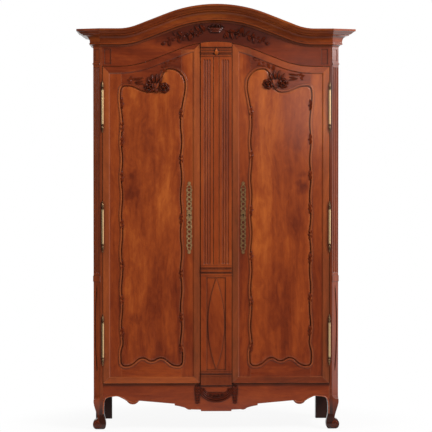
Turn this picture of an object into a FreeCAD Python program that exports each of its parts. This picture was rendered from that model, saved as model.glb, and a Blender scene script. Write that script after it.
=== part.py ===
import FreeCAD, Part
import math
import os
import Sketcher
from FreeCAD import Vector

os.makedirs("parts", exist_ok=True)
doc = FreeCAD.newDocument("armoire")

# Driving sizes in millimetres and degrees
sheet = doc.addObject("Spreadsheet::Sheet", "Dim")
sizes = [
    ("body_width", 1346, "over the sides of the posts"),
    ("body_depth", 560, "front of the posts to the back of the rear posts"),
    ("post_size", 80, "front posts, both ways"),
    ("post_height", 2150, "top of all four posts"),
    ("cant_size", 37, "canted outer corner of the front posts"),
    ("rear_post_width", 92, "rear posts along X"),
    ("rear_post_depth", 60, "rear posts along Y"),
    ("rebate_wall", 50, "side of the body to the wall of the door rebate"),
    ("front_thickness", 32, "doors, top rail and apron"),
    ("stop_clearance", 0.5, "behind the doors and rails in the rebate"),
    ("joint_clearance", 0.2, "around tenons, tongues and housings"),
    ("door_gap", 3, "between doors and frame"),
    ("opening_bottom", 251, "top of the apron"),
    ("head_drop", 157, "top of the posts down to the shoulder of the opening"),
    ("arch_flat", 89, "level run beside each rebate wall"),
    ("arch_slope", 21.3, "slope of the straight part in degrees"),
    ("crown_radius", 545, "arch crown under the top rail"),
    ("shoulder_radius", 480, "arch shoulder under the top rail"),
    ("frieze_height", 104, "top rail in sight below the cornice"),
    ("rail_cover", 72, "top rail hidden behind the cornice"),
    ("cornice_height", 98, "bottom to top of the cornice"),
    ("cornice_reach", 91, "how far the cornice stands out"),
    ("centre_width", 170, "centre post"),
    ("centre_proud", 4, "centre post in front of the doors"),
    ("moulding_proud", 6, "cap and base in front of the centre post"),
    ("centre_sink", 8, "centre post let into the apron"),
    ("lip_width", 200, "door stop behind the centre post"),
    ("lip_thickness", 12, "door stop behind the centre post"),
    ("border_width", 33, "raised border of each door"),
    ("border_step", 6, "border above the door field"),
    ("stile_width", 102, "door stile at the joints with the rails"),
    ("bottom_rail_height", 180, "blank of the door bottom rail"),
    ("scallop_inset", 94, "door edge to the shaped opening"),
    ("wave_size", 13, "swing of the shaped sides"),
    ("bead_width", 11, "moulding round the shaped opening"),
    ("bead_height", 4, "moulding above the door field"),
    ("panel_tongue", 10, "thickness of the panel edge"),
    ("panel_setback", 14, "door face to the front of the panel edge"),
    ("panel_field", 6, "panel field in front of its edge"),
    ("panel_reveal", 7, "groove between the shaped opening and the panel field"),
    ("tongue_depth", 15, "panel edge beyond the shaped opening"),
    ("hinge_low", 241, "door opening to the centre of the lower hinges"),
    ("hinge_middle", 1115, "centre height of the middle hinges"),
    ("hinge_high", 223, "shoulder of the opening down to the upper hinges"),
    ("knuckle_radius", 6, "hinge barrel"),
    ("knuckle_standoff", 7, "hinge axis in front of the doors"),
    ("barrel_length", 187, "both knuckles together"),
    ("finial_length", 48, "vase finial at each end"),
    ("pin_radius", 3, "hinge pin"),
    ("pin_length", 60, "hinge pin above the lower knuckle"),
    ("pin_clearance", 0.05, "hinge pin in its bore"),
    ("leaf_thickness", 1.2, "hinge leaves"),
    ("leaf_depth", 22, "hinge leaves behind the front plane"),
    ("plate_width", 34, "escutcheons"),
    ("plate_height", 396, "escutcheons"),
    ("plate_thickness", 1.6, "escutcheons"),
    ("plate_level", 1163, "centre height of the escutcheons"),
    ("plate_inset", 60, "lock edge of the door to the plate axis"),
    ("lock_level", 1180, "height of the lock bolts"),
    ("lock_width", 72, "lock cases along X"),
    ("lock_height", 92, "lock cases"),
    ("lock_depth", 24, "lock cases behind the doors"),
    ("lock_inset", 20, "lock edge of the door to the case"),
    ("bolt_length", 52, "lock bolts"),
    ("bolt_height", 20, "lock bolts"),
    ("bolt_thickness", 6, "lock bolts"),
    ("bolt_clearance", 0.3, "lock bolts in their slots"),
    ("bolt_throw", 16, "travel of the lock bolts"),
    ("keep_width", 18, "keeps along X"),
    ("side_thickness", 27, "side rails"),
    ("side_inset", 5, "side rails inside the posts' outer faces"),
    ("side_top_height", 120, "side top rails"),
    ("side_middle_height", 90, "side middle rails"),
    ("side_middle_level", 840, "centre height of the side middle rails"),
    ("side_bottom_height", 120, "side bottom rails"),
    ("side_bottom_level", 150, "underside of the side bottom rails"),
    ("panel_thickness", 10, "edges of the side panels"),
    ("panel_raise", 6, "fields of the side panels"),
    ("panel_bevel", 40, "bevel round the side panel fields"),
    ("groove_depth", 10, "side panels in their grooves"),
    ("tenon_length", 30, "tenons of side and back rails"),
    ("tenon_thickness", 9, "tenons of side and back rails"),
    ("tenon_inset", 22, "edges of side and back rails to their tenons"),
    ("front_tenon_length", 24, "tenons of the top rail and the apron"),
    ("peg_radius", 3.5, "pegs through the front tenons"),
    ("back_thickness", 25, "back rails"),
    ("back_inset", 5, "back rails inside the rear face"),
    ("back_rail_height", 100, "back rails"),
    ("back_middle_level", 1050, "centre height of the back middle rail"),
    ("plank_thickness", 16, "back boards"),
    ("plank_gap", 0.4, "between neighbouring boards"),
    ("floor_top", 250, "upper face of the floor boards"),
    ("board_thickness", 18, "floor boards"),
    ("ceiling_thickness", 16, "ceiling boards"),
    ("shelf_thickness", 20, "shelves"),
    ("shelf_low", 690, "upper face of the lower shelf"),
    ("shelf_middle", 1130, "upper face of the middle shelf"),
    ("shelf_high", 1570, "upper face of the upper shelf"),
    ("cleat_width", 25, "cleats along X"),
    ("cleat_height", 25, "cleats"),
    ("board_clearance", 0.5, "round the floor boards"),
    ("shelf_clearance", 2, "round the shelves"),
    ("foot_height", 165, "sawn foot under the straight part of the front posts"),
    ("cant_scoop", 27, "hollow that ends the cant above the foot"),
    ("belt_level", 812, "underside of the belt across the cant"),
    ("belt_height", 33, "belt across the cant"),
    ("belt_proud", 3, "belt in front of the cant"),
    ("band_rise", 8, "shoulder of the opening up to the band across the cant"),
    ("band_height", 9, "band across the cant"),
    ("band_proud", 4, "band in front of the cant"),
    ("band_overhang", 0.8, "bands beyond the sides of the cant"),
    ("block_margin", 12, "sunk block of the cant inside the band and the cornice"),
    ("block_half", 15, "half width of the sunk block"),
    ("block_depth", 3, "sunk block"),
    ("flute_radius", 6.2, "flutes of the cant"),
    ("flute_axis", 2.4, "flute axis in front of the cant"),
    ("flute_pitch", 15, "between flutes of the cant"),
    ("flute_gap", 18, "ends of the flutes to the bands"),
    ("channel_rise", 118, "top of the hollow up to the leaf-shaped channel"),
    ("channel_gap", 12, "leaf-shaped channel below the belt"),
    ("channel_half", 17, "half width of the leaf-shaped channel"),
    ("channel_depth", 4, "leaf-shaped channel"),
    ("label_inset", 30, "rebate wall to the middle of the sunk end panels"),
    ("label_half", 18, "half width of the sunk end panels of the top rail"),
    ("label_margin", 10, "sunk end panels inside the edges of the top rail"),
    ("label_depth", 4, "sunk end panels"),
    ("front_tenon_setback", 17, "front of the rails to their tenons"),
    ("front_tenon_thickness", 10, "tenons of the top rail and the apron"),
    ("top_tenon_rise", 25, "shoulder of the opening up to the top rail tenon"),
    ("top_tenon_height", 100, "top rail tenon"),
    ("apron_tenon_drop", 15, "top of the apron down to its tenon"),
    ("apron_tenon_height", 55, "apron tenon"),
    ("peg_inset", 20, "lower edge of the top tenon to its first peg"),
    ("peg_pitch", 37, "between the pegs of the top rail"),
    ("apron_peg_inset", 12, "edges of the apron tenon to its pegs"),
    ("peg_setback", 9, "shoulder of the tenon to the pegs"),
    ("peg_proud", 0.5, "pegs in front of the posts"),
    ("peg_clearance", 0.02, "pegs in their holes"),
    ("apron_low", 100, "underside of the apron at the middle"),
    ("apron_drop_half", 84, "half width of the middle drop of the apron"),
    ("apron_wing_half", 228, "half width of the stepped middle of the apron"),
    ("apron_wing_rise", 41, "middle drop up to the outer edge of the apron"),
    ("apron_lobe_inset", 166, "rebate wall to the lobe of the apron"),
    ("plinth_height", 46, "plinth of the centre post"),
    ("plinth_step", 11, "step above the plinth"),
    ("bead_gap", 8, "between the mouldings of the base"),
    ("bead_size", 8, "small mouldings of the centre post"),
    ("neck_level", 846, "underside of the neck mouldings"),
    ("neck_bead", 10, "neck mouldings and the gaps between them"),
    ("neck_belt", 14, "middle moulding of the neck"),
    ("cap_rise", 103, "shoulder of the opening up to the cap of the centre post"),
    ("reed_radius", 5.6, "flutes of the centre post"),
    ("reed_axis", 1.6, "flute axis in front of the centre post"),
    ("reed_start", 36, "middle of the centre post to its first flute"),
    ("reed_pitch", 14, "between flutes of the centre post"),
    ("reed_gap", 14, "neck to the lower ends of the flutes"),
    ("reed_drop", 72, "cap down to the upper ends of the flutes"),
    ("candle_half", 17, "half width of the plain strip up the middle"),
    ("candle_drop", 46, "cap down to the round end of the strip"),
    ("candle_line", 3, "incised line round the strip"),
    ("sunk_half", 53, "half width of the sunk panel of the centre post"),
    ("sunk_margin", 10, "sunk panel inside its mouldings"),
    ("sunk_depth", 5, "sunk panel of the centre post"),
    ("almond_half", 44, "half width of the raised almond"),
    ("almond_margin", 8, "raised almond inside the sunk panel"),
    ("scallop_base", 91, "foot of the door up to the scalloped edge of the panel"),
    ("scallop_bump", 55, "bumps of the scalloped lower edge"),
    ("scallop_head", 138, "shoulder of the door down to the dip of the scalloped top"),
    ("door_tenon_setback", 12, "door face to the door tenons"),
    ("door_tenon_thickness", 8, "door tenons"),
    ("door_tenon_length", 40, "door tenons"),
    ("key_radius", 4.2, "keyholes"),
    ("key_slot", 4, "width of the keyhole slots"),
    ("key_drop", 15, "length of the keyhole slots"),
]
for row, (alias, number, note) in enumerate(sizes, 1):
    sheet.set(f"A{row}", alias)
    sheet.set(f"B{row}", str(number))
    sheet.set(f"C{row}", note)
    sheet.setAlias(f"B{row}", alias)
doc.recompute()


class Size:
    # A number together with the sheet expression that it comes from

    def __init__(self, value, text):
        self.value = value
        self.text = text

    def __float__(self):
        return self.value

    def __neg__(self):
        return Size(-self.value, f"(-{self.text})")

    def __add__(self, other):
        other = as_size(other)
        return Size(self.value + other.value, f"({self.text} + {other.text})")

    def __sub__(self, other):
        other = as_size(other)
        return Size(self.value - other.value, f"({self.text} - {other.text})")

    def __mul__(self, other):
        other = as_size(other)
        return Size(self.value * other.value, f"({self.text} * {other.text})")

    def __truediv__(self, other):
        other = as_size(other)
        return Size(self.value / other.value, f"({self.text} / {other.text})")


def as_size(number):
    if isinstance(number, Size):
        return number
    return Size(float(number), f"({float(number):.6f})")


class Sizes:
    pass


dim = Sizes()
for alias, number, note in sizes:
    setattr(dim, alias, Size(float(sheet.get(alias)), f"Dim.{alias}"))

# Main planes that the pieces share
side = dim.body_width / 2
front = (dim.cornice_reach - dim.body_depth) / 2
back = front + dim.body_depth
opening_shoulder = dim.post_height - dim.head_drop
post_inner = side - dim.post_size
rear_inner = side - dim.rear_post_width
arris = side - dim.cant_size
wall = side - dim.rebate_wall
door_back = front + dim.front_thickness
rebate_back = door_back + dim.stop_clearance
door_edge = wall - dim.door_gap
meet_edge = dim.centre_width / 2 + dim.door_gap
door_bottom = dim.opening_bottom + dim.door_gap
hinge_x = (wall + door_edge) / 2
hinge_y = front - dim.knuckle_standoff
field_face = front + dim.border_step
post_back = front + dim.post_size
rear_front = back - dim.rear_post_depth
side_outer = side - dim.side_inset
side_inner = side_outer - dim.side_thickness
top_reach = dim.frieze_height + dim.rail_cover

pieces = {}


def keep(thing, label):
    # Names a finished sub-part
    thing.Label = label
    pieces[label] = thing
    return thing


def shaped(label, shape):
    # A sub-part whose outline no primitive gives
    thing = doc.addObject("Part::Feature", label)
    thing.Shape = shape
    return thing


def block(label, x, y, z):
    # A box between two sizes along each axis
    thing = doc.addObject("Part::Box", label)
    for side_name, axis, (low, high) in zip(("Length", "Width", "Height"), "xyz", (x, y, z)):
        low = as_size(low)
        thing.setExpression(side_name, (as_size(high) - low).text)
        thing.setExpression(f"Placement.Base.{axis}", low.text)
    return thing


def grown(label, x, y, z, extra):
    # A box that is larger all round by a clearance
    ranges = [(as_size(low) - extra, as_size(high) + extra) for low, high in (x, y, z)]
    return block(label, *ranges)


def rod(label, radius, x, y, z, length, along="z"):
    # A cylinder from a start point along Z or Y
    thing = doc.addObject("Part::Cylinder", label)
    thing.setExpression("Radius", as_size(radius).text)
    thing.setExpression("Height", as_size(length).text)
    if along == "y":
        thing.Placement.Rotation = FreeCAD.Rotation(Vector(1, 0, 0), -90)
    for axis, start in zip("xyz", (x, y, z)):
        thing.setExpression(f"Placement.Base.{axis}", as_size(start).text)
    return thing


def joined(label, things):
    thing = doc.addObject("Part::MultiFuse", label)
    thing.Shapes = things
    return thing


def grouped(label, things):
    thing = doc.addObject("Part::Compound", label)
    thing.Links = things
    return thing


def trimmed(label, base, tools):
    # The base less every tool
    thing = doc.addObject("Part::Cut", label)
    thing.Base = base
    thing.Tool = tools[0] if len(tools) == 1 else joined(label + "_tools", tools)
    return thing


def mirrored(label, source):
    thing = doc.addObject("Part::Mirroring", label)
    thing.Source = source
    thing.Base = Vector(0, 0, 0)
    thing.Normal = Vector(1, 0, 0)
    return thing


def sketch_on(body, label, role, corners):
    # A closed outline on one of the body's origin planes, each corner bound to the sheet
    plane = [feature for feature in body.Origin.OriginFeatures if feature.Role == role][0]
    sketch = body.newObject("Sketcher::SketchObject", label)
    sketch.AttachmentSupport = [(plane, "")]
    sketch.MapMode = "FlatFace"
    count = len(corners)
    ends = [Vector(float(u), float(v), 0) for u, v in corners]
    for index in range(count):
        sketch.addGeometry(Part.LineSegment(ends[index], ends[(index + 1) % count]))
    for index in range(count):
        follower = (index + 1) % count
        sketch.addConstraint(Sketcher.Constraint("Coincident", index, 2, follower, 1))
    for index, corner in enumerate(corners):
        for kind, number in zip(("DistanceX", "DistanceY"), corner):
            number = as_size(number)
            if number.value == 0:
                on_axis = -2 if kind == "DistanceX" else -1
                sketch.addConstraint(Sketcher.Constraint("PointOnObject", index, 1, on_axis))
                continue
            made = sketch.addConstraint(
                Sketcher.Constraint(kind, -1, 1, index, 1, number.value))
            sketch.setExpression(f"Constraints[{made}]", number.text)
    return sketch


def flat(points, y=0.0):
    # Turns pairs of X and Z into points of a front view
    return [Vector(float(u), y, float(v)) for u, v in points]


def outline(start, steps, y=0.0):
    # A closed front-view outline: one point runs straight, two run as an arc, three as a free curve
    edges = []
    here = flat([start], y)[0]
    for step in steps:
        points = flat(step, y)
        if len(points) == 1:
            edges.append(Part.makeLine(here, points[0]))
        elif len(points) == 2:
            edges.append(Part.Arc(here, points[0], points[1]).toShape())
        else:
            curve = Part.BezierCurve()
            curve.setPoles([here] + points)
            edges.append(curve.toShape())
        here = points[-1]
    if here.distanceToPoint(flat([start], y)[0]) > 1e-6:
        edges.append(Part.makeLine(here, flat([start], y)[0]))
    return Part.Wire(edges)


def slab(wire, low, high):
    # A front-view outline given thickness along Y
    face = Part.Face(wire)
    face.translate(Vector(0, float(low) - wire.BoundBox.YMin, 0))
    return face.extrude(Vector(0, float(high) - float(low), 0))


def solid_box(x, y, z):
    (x0, x1), (y0, y1), (z0, z1) = [(float(low), float(high)) for low, high in (x, y, z)]
    return Part.makeBox(x1 - x0, y1 - y0, z1 - z0, Vector(x0, y0, z0))


# The arch that the top rail, doors and cornice follow as parallel lines
slope = math.radians(float(dim.arch_slope))
span = float(wall - dim.arch_flat)
radii = float(dim.crown_radius) + float(dim.shoulder_radius)
run = (span - radii * math.sin(slope)) / math.cos(slope)
rise = radii * (1 - math.cos(slope)) + run * math.sin(slope)
shoulder_z = float(opening_shoulder)
crown_centre = Vector(0, 0, shoulder_z + rise - float(dim.crown_radius))
shoulder_centre = Vector(span, 0, shoulder_z + float(dim.shoulder_radius))


def arch_breaks(offset):
    # Where the crown arc and the shoulder arc of one parallel line end
    crown = (float(dim.crown_radius) + offset) * math.sin(slope)
    shoulder = span - (float(dim.shoulder_radius) - offset) * math.sin(slope)
    return crown, shoulder


def arch_z(x, offset=0.0):
    crown, shoulder = arch_breaks(offset)
    x = abs(x)
    crown_r = float(dim.crown_radius) + offset
    shoulder_r = float(dim.shoulder_radius) - offset
    if x <= crown:
        return crown_centre.z + math.sqrt(crown_r ** 2 - x ** 2)
    if x >= span:
        return shoulder_z + offset
    if x >= shoulder:
        return shoulder_centre.z - math.sqrt(shoulder_r ** 2 - (span - x) ** 2)
    top = crown_centre.z + crown_r * math.cos(slope)
    return top - (x - crown) * math.tan(slope)


def arch_steps(start, end, offset=0.0):
    # Outline steps along the arch from one X to another
    crown, shoulder = arch_breaks(offset)
    marks = [-span, -shoulder, -crown, crown, shoulder, span]
    between = sorted((m for m in marks if min(start, end) < m < max(start, end)),
                     reverse=end < start)
    steps = []
    here = start
    for there in between + [end]:
        middle = (here + there) / 2
        round_part = abs(middle) < crown or shoulder < abs(middle) < span
        stop = (there, arch_z(there, offset))
        steps.append([(middle, arch_z(middle, offset)), stop] if round_part else [stop])
        here = there
    return steps


def arched_slab(left, right, low, high, y_low, y_high):
    # A board between two parallel arch lines
    start = (left, arch_z(left, low))
    steps = arch_steps(left, right, low) + [[(right, arch_z(right, high))]]
    steps += arch_steps(right, left, high)
    return slab(outline(start, steps), y_low, y_high)


# Front posts: a front and a side outline crossed, then canted, rebated and carved
post_top = float(dim.post_height)
width = float(dim.post_size)
knee = float(dim.foot_height)
# The front outline curls out into a scroll, the side outline only swells
front_steps = [
    [(0, knee)], [(-5, knee - 28), (14, knee - 62), (21, 62)], [(15, 55)],
    [(3, 53), (-4, 42), (-4, 28)], [(-4, 12), (6, 0), (20, 0)], [(48, 0)], [(62, 0), (68, 12), (68, 32)],
    [(68, 52), (57, 72), (57, 98)], [(57, 126), (58, knee - 8), (66, knee + 2)],
    [(70, knee + 7), (75, knee + 11), (width, knee + 11)], [(width, post_top)],
]
side_steps = [
    [(0, knee)], [(0, knee - 32), (11, 104), (10, 80)], [(9, 56), (-2, 50), (-2, 27)],
    [(-2, 10), (4, 0), (18, 0)], [(50, 0)], [(62, 0), (67, 14), (67, 34)],
    [(67, 56), (57, 72), (57, 98)], [(57, 126), (58, knee - 8), (66, knee + 2)],
    [(70, knee + 7), (75, knee + 11), (width, knee + 11)], [(width, post_top)],
]
across = slab(outline((0, post_top), front_steps), -20, width + 20)
across.rotate(Vector(0, 0, 0), Vector(0, 0, 1), 180)
across.translate(Vector(float(side), float(front) + width, 0))
along = slab(outline((0, post_top), side_steps), -20, width + 20)
along.rotate(Vector(0, 0, 0), Vector(0, 0, 1), 90)
along.translate(Vector(float(side), float(front), 0))
post = across.common(along)


def on_cant(shape):
    # Moves a shape drawn at the origin, facing -Y, onto the canted corner
    shape = shape.copy()
    half_cant = float(dim.cant_size) / 2
    shape.rotate(Vector(0, 0, 0), Vector(0, 0, 1), 45)
    shape.translate(Vector(float(side) - half_cant, float(front) + half_cant, 0))
    return shape


scoop = float(dim.cant_scoop)
cant_low = knee + scoop
cant = solid_box((-width, width), (-width, 0), (cant_low, post_top + 1))
tongue = Part.makeCylinder(scoop, 2 * width, Vector(-width, -scoop, cant_low), Vector(1, 0, 0))
post = post.cut([on_cant(cant), on_cant(tongue)])
rebate = solid_box((post_inner - 1, wall), (front - 1, rebate_back),
                   (dim.foot_height - dim.joint_clearance, post_top + 1))
post = post.cut(rebate)
cant_half = float(dim.cant_size / math.sqrt(2) + dim.band_overhang)
belt_low = float(dim.belt_level)
belt_high = belt_low + float(dim.belt_height)
band_low = float(opening_shoulder + dim.band_rise)
band_high = band_low + float(dim.band_height)
frieze_top = float(opening_shoulder + dim.frieze_height)
bands = [((-cant_half, cant_half), (-dim.band_proud, 1), (band_low, band_high)),
         ((-cant_half, cant_half), (-dim.belt_proud, 1), (belt_low, belt_high))]
post = post.fuse([on_cant(solid_box(*band)) for band in bands])
block_half = float(dim.block_half)
block_margin = float(dim.block_margin)
carving = [on_cant(solid_box((-block_half, block_half), (-5, dim.block_depth),
                             (band_high + block_margin, frieze_top - block_margin)))]
flute_low = belt_high + float(dim.flute_gap)
flute_high = band_low - float(dim.flute_gap)
for count in (-1, 0, 1):
    axis = Vector(count * float(dim.flute_pitch), -float(dim.flute_axis), flute_low)
    flute = Part.makeCylinder(float(dim.flute_radius), flute_high - flute_low, axis)
    caps = [Part.makeSphere(float(dim.flute_radius), Vector(axis.x, axis.y, level))
            for level in (flute_low, flute_high)]
    carving.append(on_cant(flute.fuse(caps)))
leaf_low = cant_low + float(dim.channel_rise)
leaf_high = belt_low - float(dim.channel_gap)
leaf_mid = (leaf_low + leaf_high) / 2
leaf_half = float(dim.channel_half)
channel = outline((0, leaf_low), [[(-leaf_half, leaf_mid), (0, leaf_high)],
                                  [(leaf_half, leaf_mid), (0, leaf_low)]])
carving.append(on_cant(slab(channel, -1, dim.channel_depth)))
post = post.cut(carving).removeSplitter()
right_front_post = shaped("right_front_post_blank", post)

# Rear posts
right_rear_post = block("right_rear_post_blank", (rear_inner, side), (rear_front, back),
                        (0, dim.post_height))

# Front top rail and apron, both housed in the post rebates and tenoned
wide = float(wall)
rail = arched_slab(-wide, wide, 0.0, float(top_reach), front, door_back)
label_margin = float(dim.label_margin)
label_half = float(dim.label_half)
for place in (float(dim.label_inset) - wide, wide - float(dim.label_inset)):
    rail = rail.cut(solid_box((place - label_half, place + label_half), (front - 1, front + dim.label_depth),
                              (shoulder_z + label_margin, frieze_top - label_margin)))
front_tenon_x = (wall, wall + dim.front_tenon_length)
front_tenon_y = (front + dim.front_tenon_setback,
                 front + dim.front_tenon_setback + dim.front_tenon_thickness)
top_tenon_low = opening_shoulder + dim.top_tenon_rise
top_tenon = (front_tenon_x, front_tenon_y, (top_tenon_low, top_tenon_low + dim.top_tenon_height))
apron_tenon_top = dim.opening_bottom - dim.apron_tenon_drop
apron_tenon_low = apron_tenon_top - dim.apron_tenon_height
apron_tenon = (front_tenon_x, front_tenon_y, (apron_tenon_low, apron_tenon_top))

# Lower edge of the apron from the right foot to the middle, then mirrored
apron_top = float(dim.opening_bottom)
apron_low = float(dim.apron_low)
drop_half = float(dim.apron_drop_half)
wing = float(dim.apron_wing_half)
wing_z = apron_low + float(dim.apron_wing_rise)
lobe_x = wide - float(dim.apron_lobe_inset)
right_edge = [
    [(wide - 11, knee)], [(wide - 24, knee + 11), (wide - 55, knee + 15)],
    [(wide - 82, knee + 17), (wide - 98, knee + 11)], [(lobe_x + 50, knee + 2), (lobe_x + 33, knee - 9)],
    [(lobe_x, wing_z - 3), (lobe_x - 28, knee - 14)], [(lobe_x - 33, knee - 7)],
    [(lobe_x - 40, knee - 7)], [(wing, wing_z)], [(wing, wing_z - 9)],
    [(wing - 32, wing_z - 15), (wing - 60, apron_low + 18)],
    [(wing - 72, apron_low + 10), (wing - 93, apron_low + 10)], [(drop_half, apron_low + 8)],
    [(drop_half, apron_low)],
]
left_edge = []
backward = [[(-x, z) for x, z in step] for step in right_edge]
stops = [(-wide, knee)] + [step[-1] for step in backward]
for index in range(len(backward) - 1, -1, -1):
    left_edge.append(backward[index][:-1] + [stops[index]])
apron_wire = outline((wide, knee), right_edge + [[(-drop_half, apron_low)]] + left_edge
                     + [[(-wide, apron_top)], [(wide, apron_top)]])
apron = slab(apron_wire, front, door_back)


def with_tenons(label, board, tenon):
    # A board along X with the same tenon at both ends
    right = block(label + "_tenon", *tenon)
    return joined(label + "_whole", [shaped(label + "_board", board), right,
                                     mirrored(label + "_tenon_left", right)])


peg_x = wall + dim.peg_setback
first_peg = top_tenon_low + dim.peg_inset
peg_levels = [first_peg, first_peg + dim.peg_pitch, apron_tenon_low + dim.apron_peg_inset,
              apron_tenon_top - dim.apron_peg_inset]
peg_start = front - dim.peg_proud
peg_length = dim.front_thickness - dim.peg_proud * 2
pegs = []
peg_holes = []
for index, level in enumerate(peg_levels):
    pegs.append(rod(f"peg_{index}", dim.peg_radius, peg_x, peg_start, level, peg_length, "y"))
    peg_holes.append(rod(f"peg_hole_{index}", dim.peg_radius + dim.peg_clearance, peg_x,
                         peg_start - 1, level, peg_length + 1 + dim.joint_clearance / 2, "y"))
pegs += [mirrored(f"peg_left_{index}", thing) for index, thing in enumerate(list(pegs))]
left_holes = [mirrored(f"peg_hole_left_{i}", thing) for i, thing in enumerate(peg_holes)]
keep(grouped("pegs", pegs), "frame_pegs")

half_centre = dim.centre_width / 2
housing = block("centre_housing", (-half_centre - dim.joint_clearance,
                                   half_centre + dim.joint_clearance),
                (front - 2, door_back + 2),
                (dim.opening_bottom - dim.centre_sink, dim.opening_bottom + 2))
keep(trimmed("top_rail", with_tenons("top_rail", rail, top_tenon),
             peg_holes[:2] + left_holes[:2]), "front_top_rail")
keep(trimmed("apron", with_tenons("apron", apron, apron_tenon),
             peg_holes[2:] + left_holes[2:] + [housing]), "front_apron_rail")

# Centre post with flutes, capital, sunk lower panel and plinth
half = float(half_centre)
face = float(front - dim.centre_proud)
proud = float(dim.moulding_proud)
foot = float(dim.opening_bottom - dim.centre_sink)
under = -float(dim.joint_clearance)
flush = float(door_back + 1)
start = (-half, foot)
steps = [[(half, foot)], [(half, arch_z(half, under))]] + arch_steps(half, -half, under)
column = slab(outline(start, steps), face, flush)
lip_half = float(dim.lip_width) / 2
lip = solid_box((-lip_half, lip_half), (flush, flush + float(dim.lip_thickness)),
                (dim.floor_top, post_top))
small = float(dim.bead_size)
plinth_top = foot + float(dim.plinth_height)
step_top = plinth_top + float(dim.plinth_step)
base_low = step_top + float(dim.bead_gap)
neck = float(dim.neck_level)
ring = float(dim.neck_bead)
belt_start = neck + 2 * ring
belt_end = belt_start + float(dim.neck_belt)
neck_top = belt_end + 2 * ring
cap_low = shoulder_z + float(dim.cap_rise)
mouldings = [((foot, plinth_top), proud), ((plinth_top, step_top), proud - 2),
             ((base_low, base_low + small), proud - 3), ((neck, neck + ring), proud - 3),
             ((belt_start, belt_end), proud - 1), ((neck_top - ring, neck_top), proud - 3),
             ((cap_low - 50, cap_low - 50 + small), proud - 3), ((cap_low - 30, cap_low - 20), proud - 1)]
trim = [solid_box((-half, half), (face - out, face + 1), span_z) for span_z, out in mouldings]
cap_steps = [[(half, cap_low)], [(half, arch_z(half, under))]] + arch_steps(half, -half, under)
trim.append(slab(outline((-half, cap_low), cap_steps), face - proud, face + 1))
column = column.fuse([lip] + trim)
sunk = []
reed_low = neck_top + float(dim.reed_gap)
reed_high = cap_low - float(dim.reed_drop)
reed_y = face - float(dim.reed_axis)
reed_radius = float(dim.reed_radius)
for count in range(3):
    for turn in (-1, 1):
        place = turn * float(dim.reed_start + dim.reed_pitch * count)
        flute = Part.makeCylinder(reed_radius, reed_high - reed_low, Vector(place, reed_y, reed_low))
        ends = [Part.makeSphere(reed_radius, Vector(place, reed_y, level))
                for level in (reed_low, reed_high)]
        sunk.append(flute.fuse(ends))
sunk_half = float(dim.sunk_half)
sunk_low = base_low + small + float(dim.sunk_margin)
sunk_high = neck - float(dim.sunk_margin)
sunk_panel = solid_box((-sunk_half, sunk_half), (face - 1, face + float(dim.sunk_depth)),
                       (sunk_low, sunk_high))
tip_low = sunk_low + float(dim.almond_margin)
tip_high = sunk_high - float(dim.almond_margin)
tip_mid = (tip_low + tip_high) / 2
almond_half = float(dim.almond_half)
almond = outline((0, tip_low), [[(-almond_half, tip_mid), (0, tip_high)],
                                [(almond_half, tip_mid), (0, tip_low)]])
sunk.append(sunk_panel.cut(slab(almond, face, face + float(dim.sunk_depth) + 1)))


def candle(half_width):
    # The plain strip up the middle of the centre post, with a round upper end
    top = cap_low - float(dim.candle_drop)
    low = neck_top + small
    return outline((-half_width, low), [[(-half_width, top)], [(0, top + half_width), (half_width, top)],
                                        [(half_width, low)]])


strip = float(dim.candle_half)
line = slab(candle(strip), face - 1, face + 3)
sunk.append(line.cut(slab(candle(strip - float(dim.candle_line)), face - 2, face + 4)))
keep(shaped("centre_column", column.cut(sunk).removeSplitter()), "centre_post")

# Cornice: one moulding profile swept along the arch, lofted round the corners, run down the sides
tall = float(dim.cornice_height)
deep = float(dim.cornice_reach)
# Each step is a line to one point, or a curve with two control points
moulding = [
    [(3, 9), (10, 14), (21, 14)], [(21, 21)], [(18, 21)], [(18, 26)],
    [(19, 46), (31, 62), (49, 63)], [(55, 63)], [(55, 68)],
    [(67, 68), (73, 80), (deep - 4, tall - 11)], [(deep, tall - 11)], [(deep, tall)], [(0, tall)],
]


def section(place):
    # The profile with each of its points sent to a place in space
    edges = []
    here = place(0, 0)
    for step in moulding + [[(0, 0)]]:
        points = [place(*point) for point in step]
        if len(points) == 1:
            edges.append(Part.makeLine(here, points[0]))
        else:
            curve = Part.BezierCurve()
            curve.setPoles([here] + points)
            edges.append(curve.toShape())
        here = points[-1]
    return Part.Wire(edges)


lift = float(dim.frieze_height)
y_front = float(front)
corner_x = float(arris)
base_z = shoulder_z + lift


def front_section(x, z):
    return section(lambda p, height: Vector(x, y_front - p, z + height))


degrees = math.degrees(slope)
crown_face = Part.Face(front_section(0, shoulder_z + rise + lift))
crown_face.rotate(crown_centre, Vector(0, 1, 0), -degrees)
arch_parts = [crown_face.revolve(crown_centre, Vector(0, 1, 0), 2 * degrees)]
shoulder_face = Part.Face(front_section(span, base_z))
bend = shoulder_face.revolve(shoulder_centre, Vector(0, 1, 0), degrees)
tangent = Vector(math.cos(slope), 0, -math.sin(slope))
ramp_face = Part.Face(front_section(0, shoulder_z + rise + lift))
ramp_face.rotate(crown_centre, Vector(0, 1, 0), degrees)
ramp = ramp_face.extrude(tangent * run)
level_run = shoulder_face.extrude(Vector(corner_x - span, 0, 0))
for part in (bend, ramp, level_run):
    arch_parts += [part, part.mirror(Vector(0, 0, 0), Vector(1, 0, 0))]
arch_solid = arch_parts[0].fuse(arch_parts[1:]).removeSplitter()
keep(shaped("cornice_arch", arch_solid), "cornice_front")

mitre = math.tan(math.radians(22.5))
cant_size = float(dim.cant_size)
half_body = float(side)


def mitre_point(p, height):
    return Vector(half_body + p, y_front + cant_size - mitre * p, base_z + height)


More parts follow.
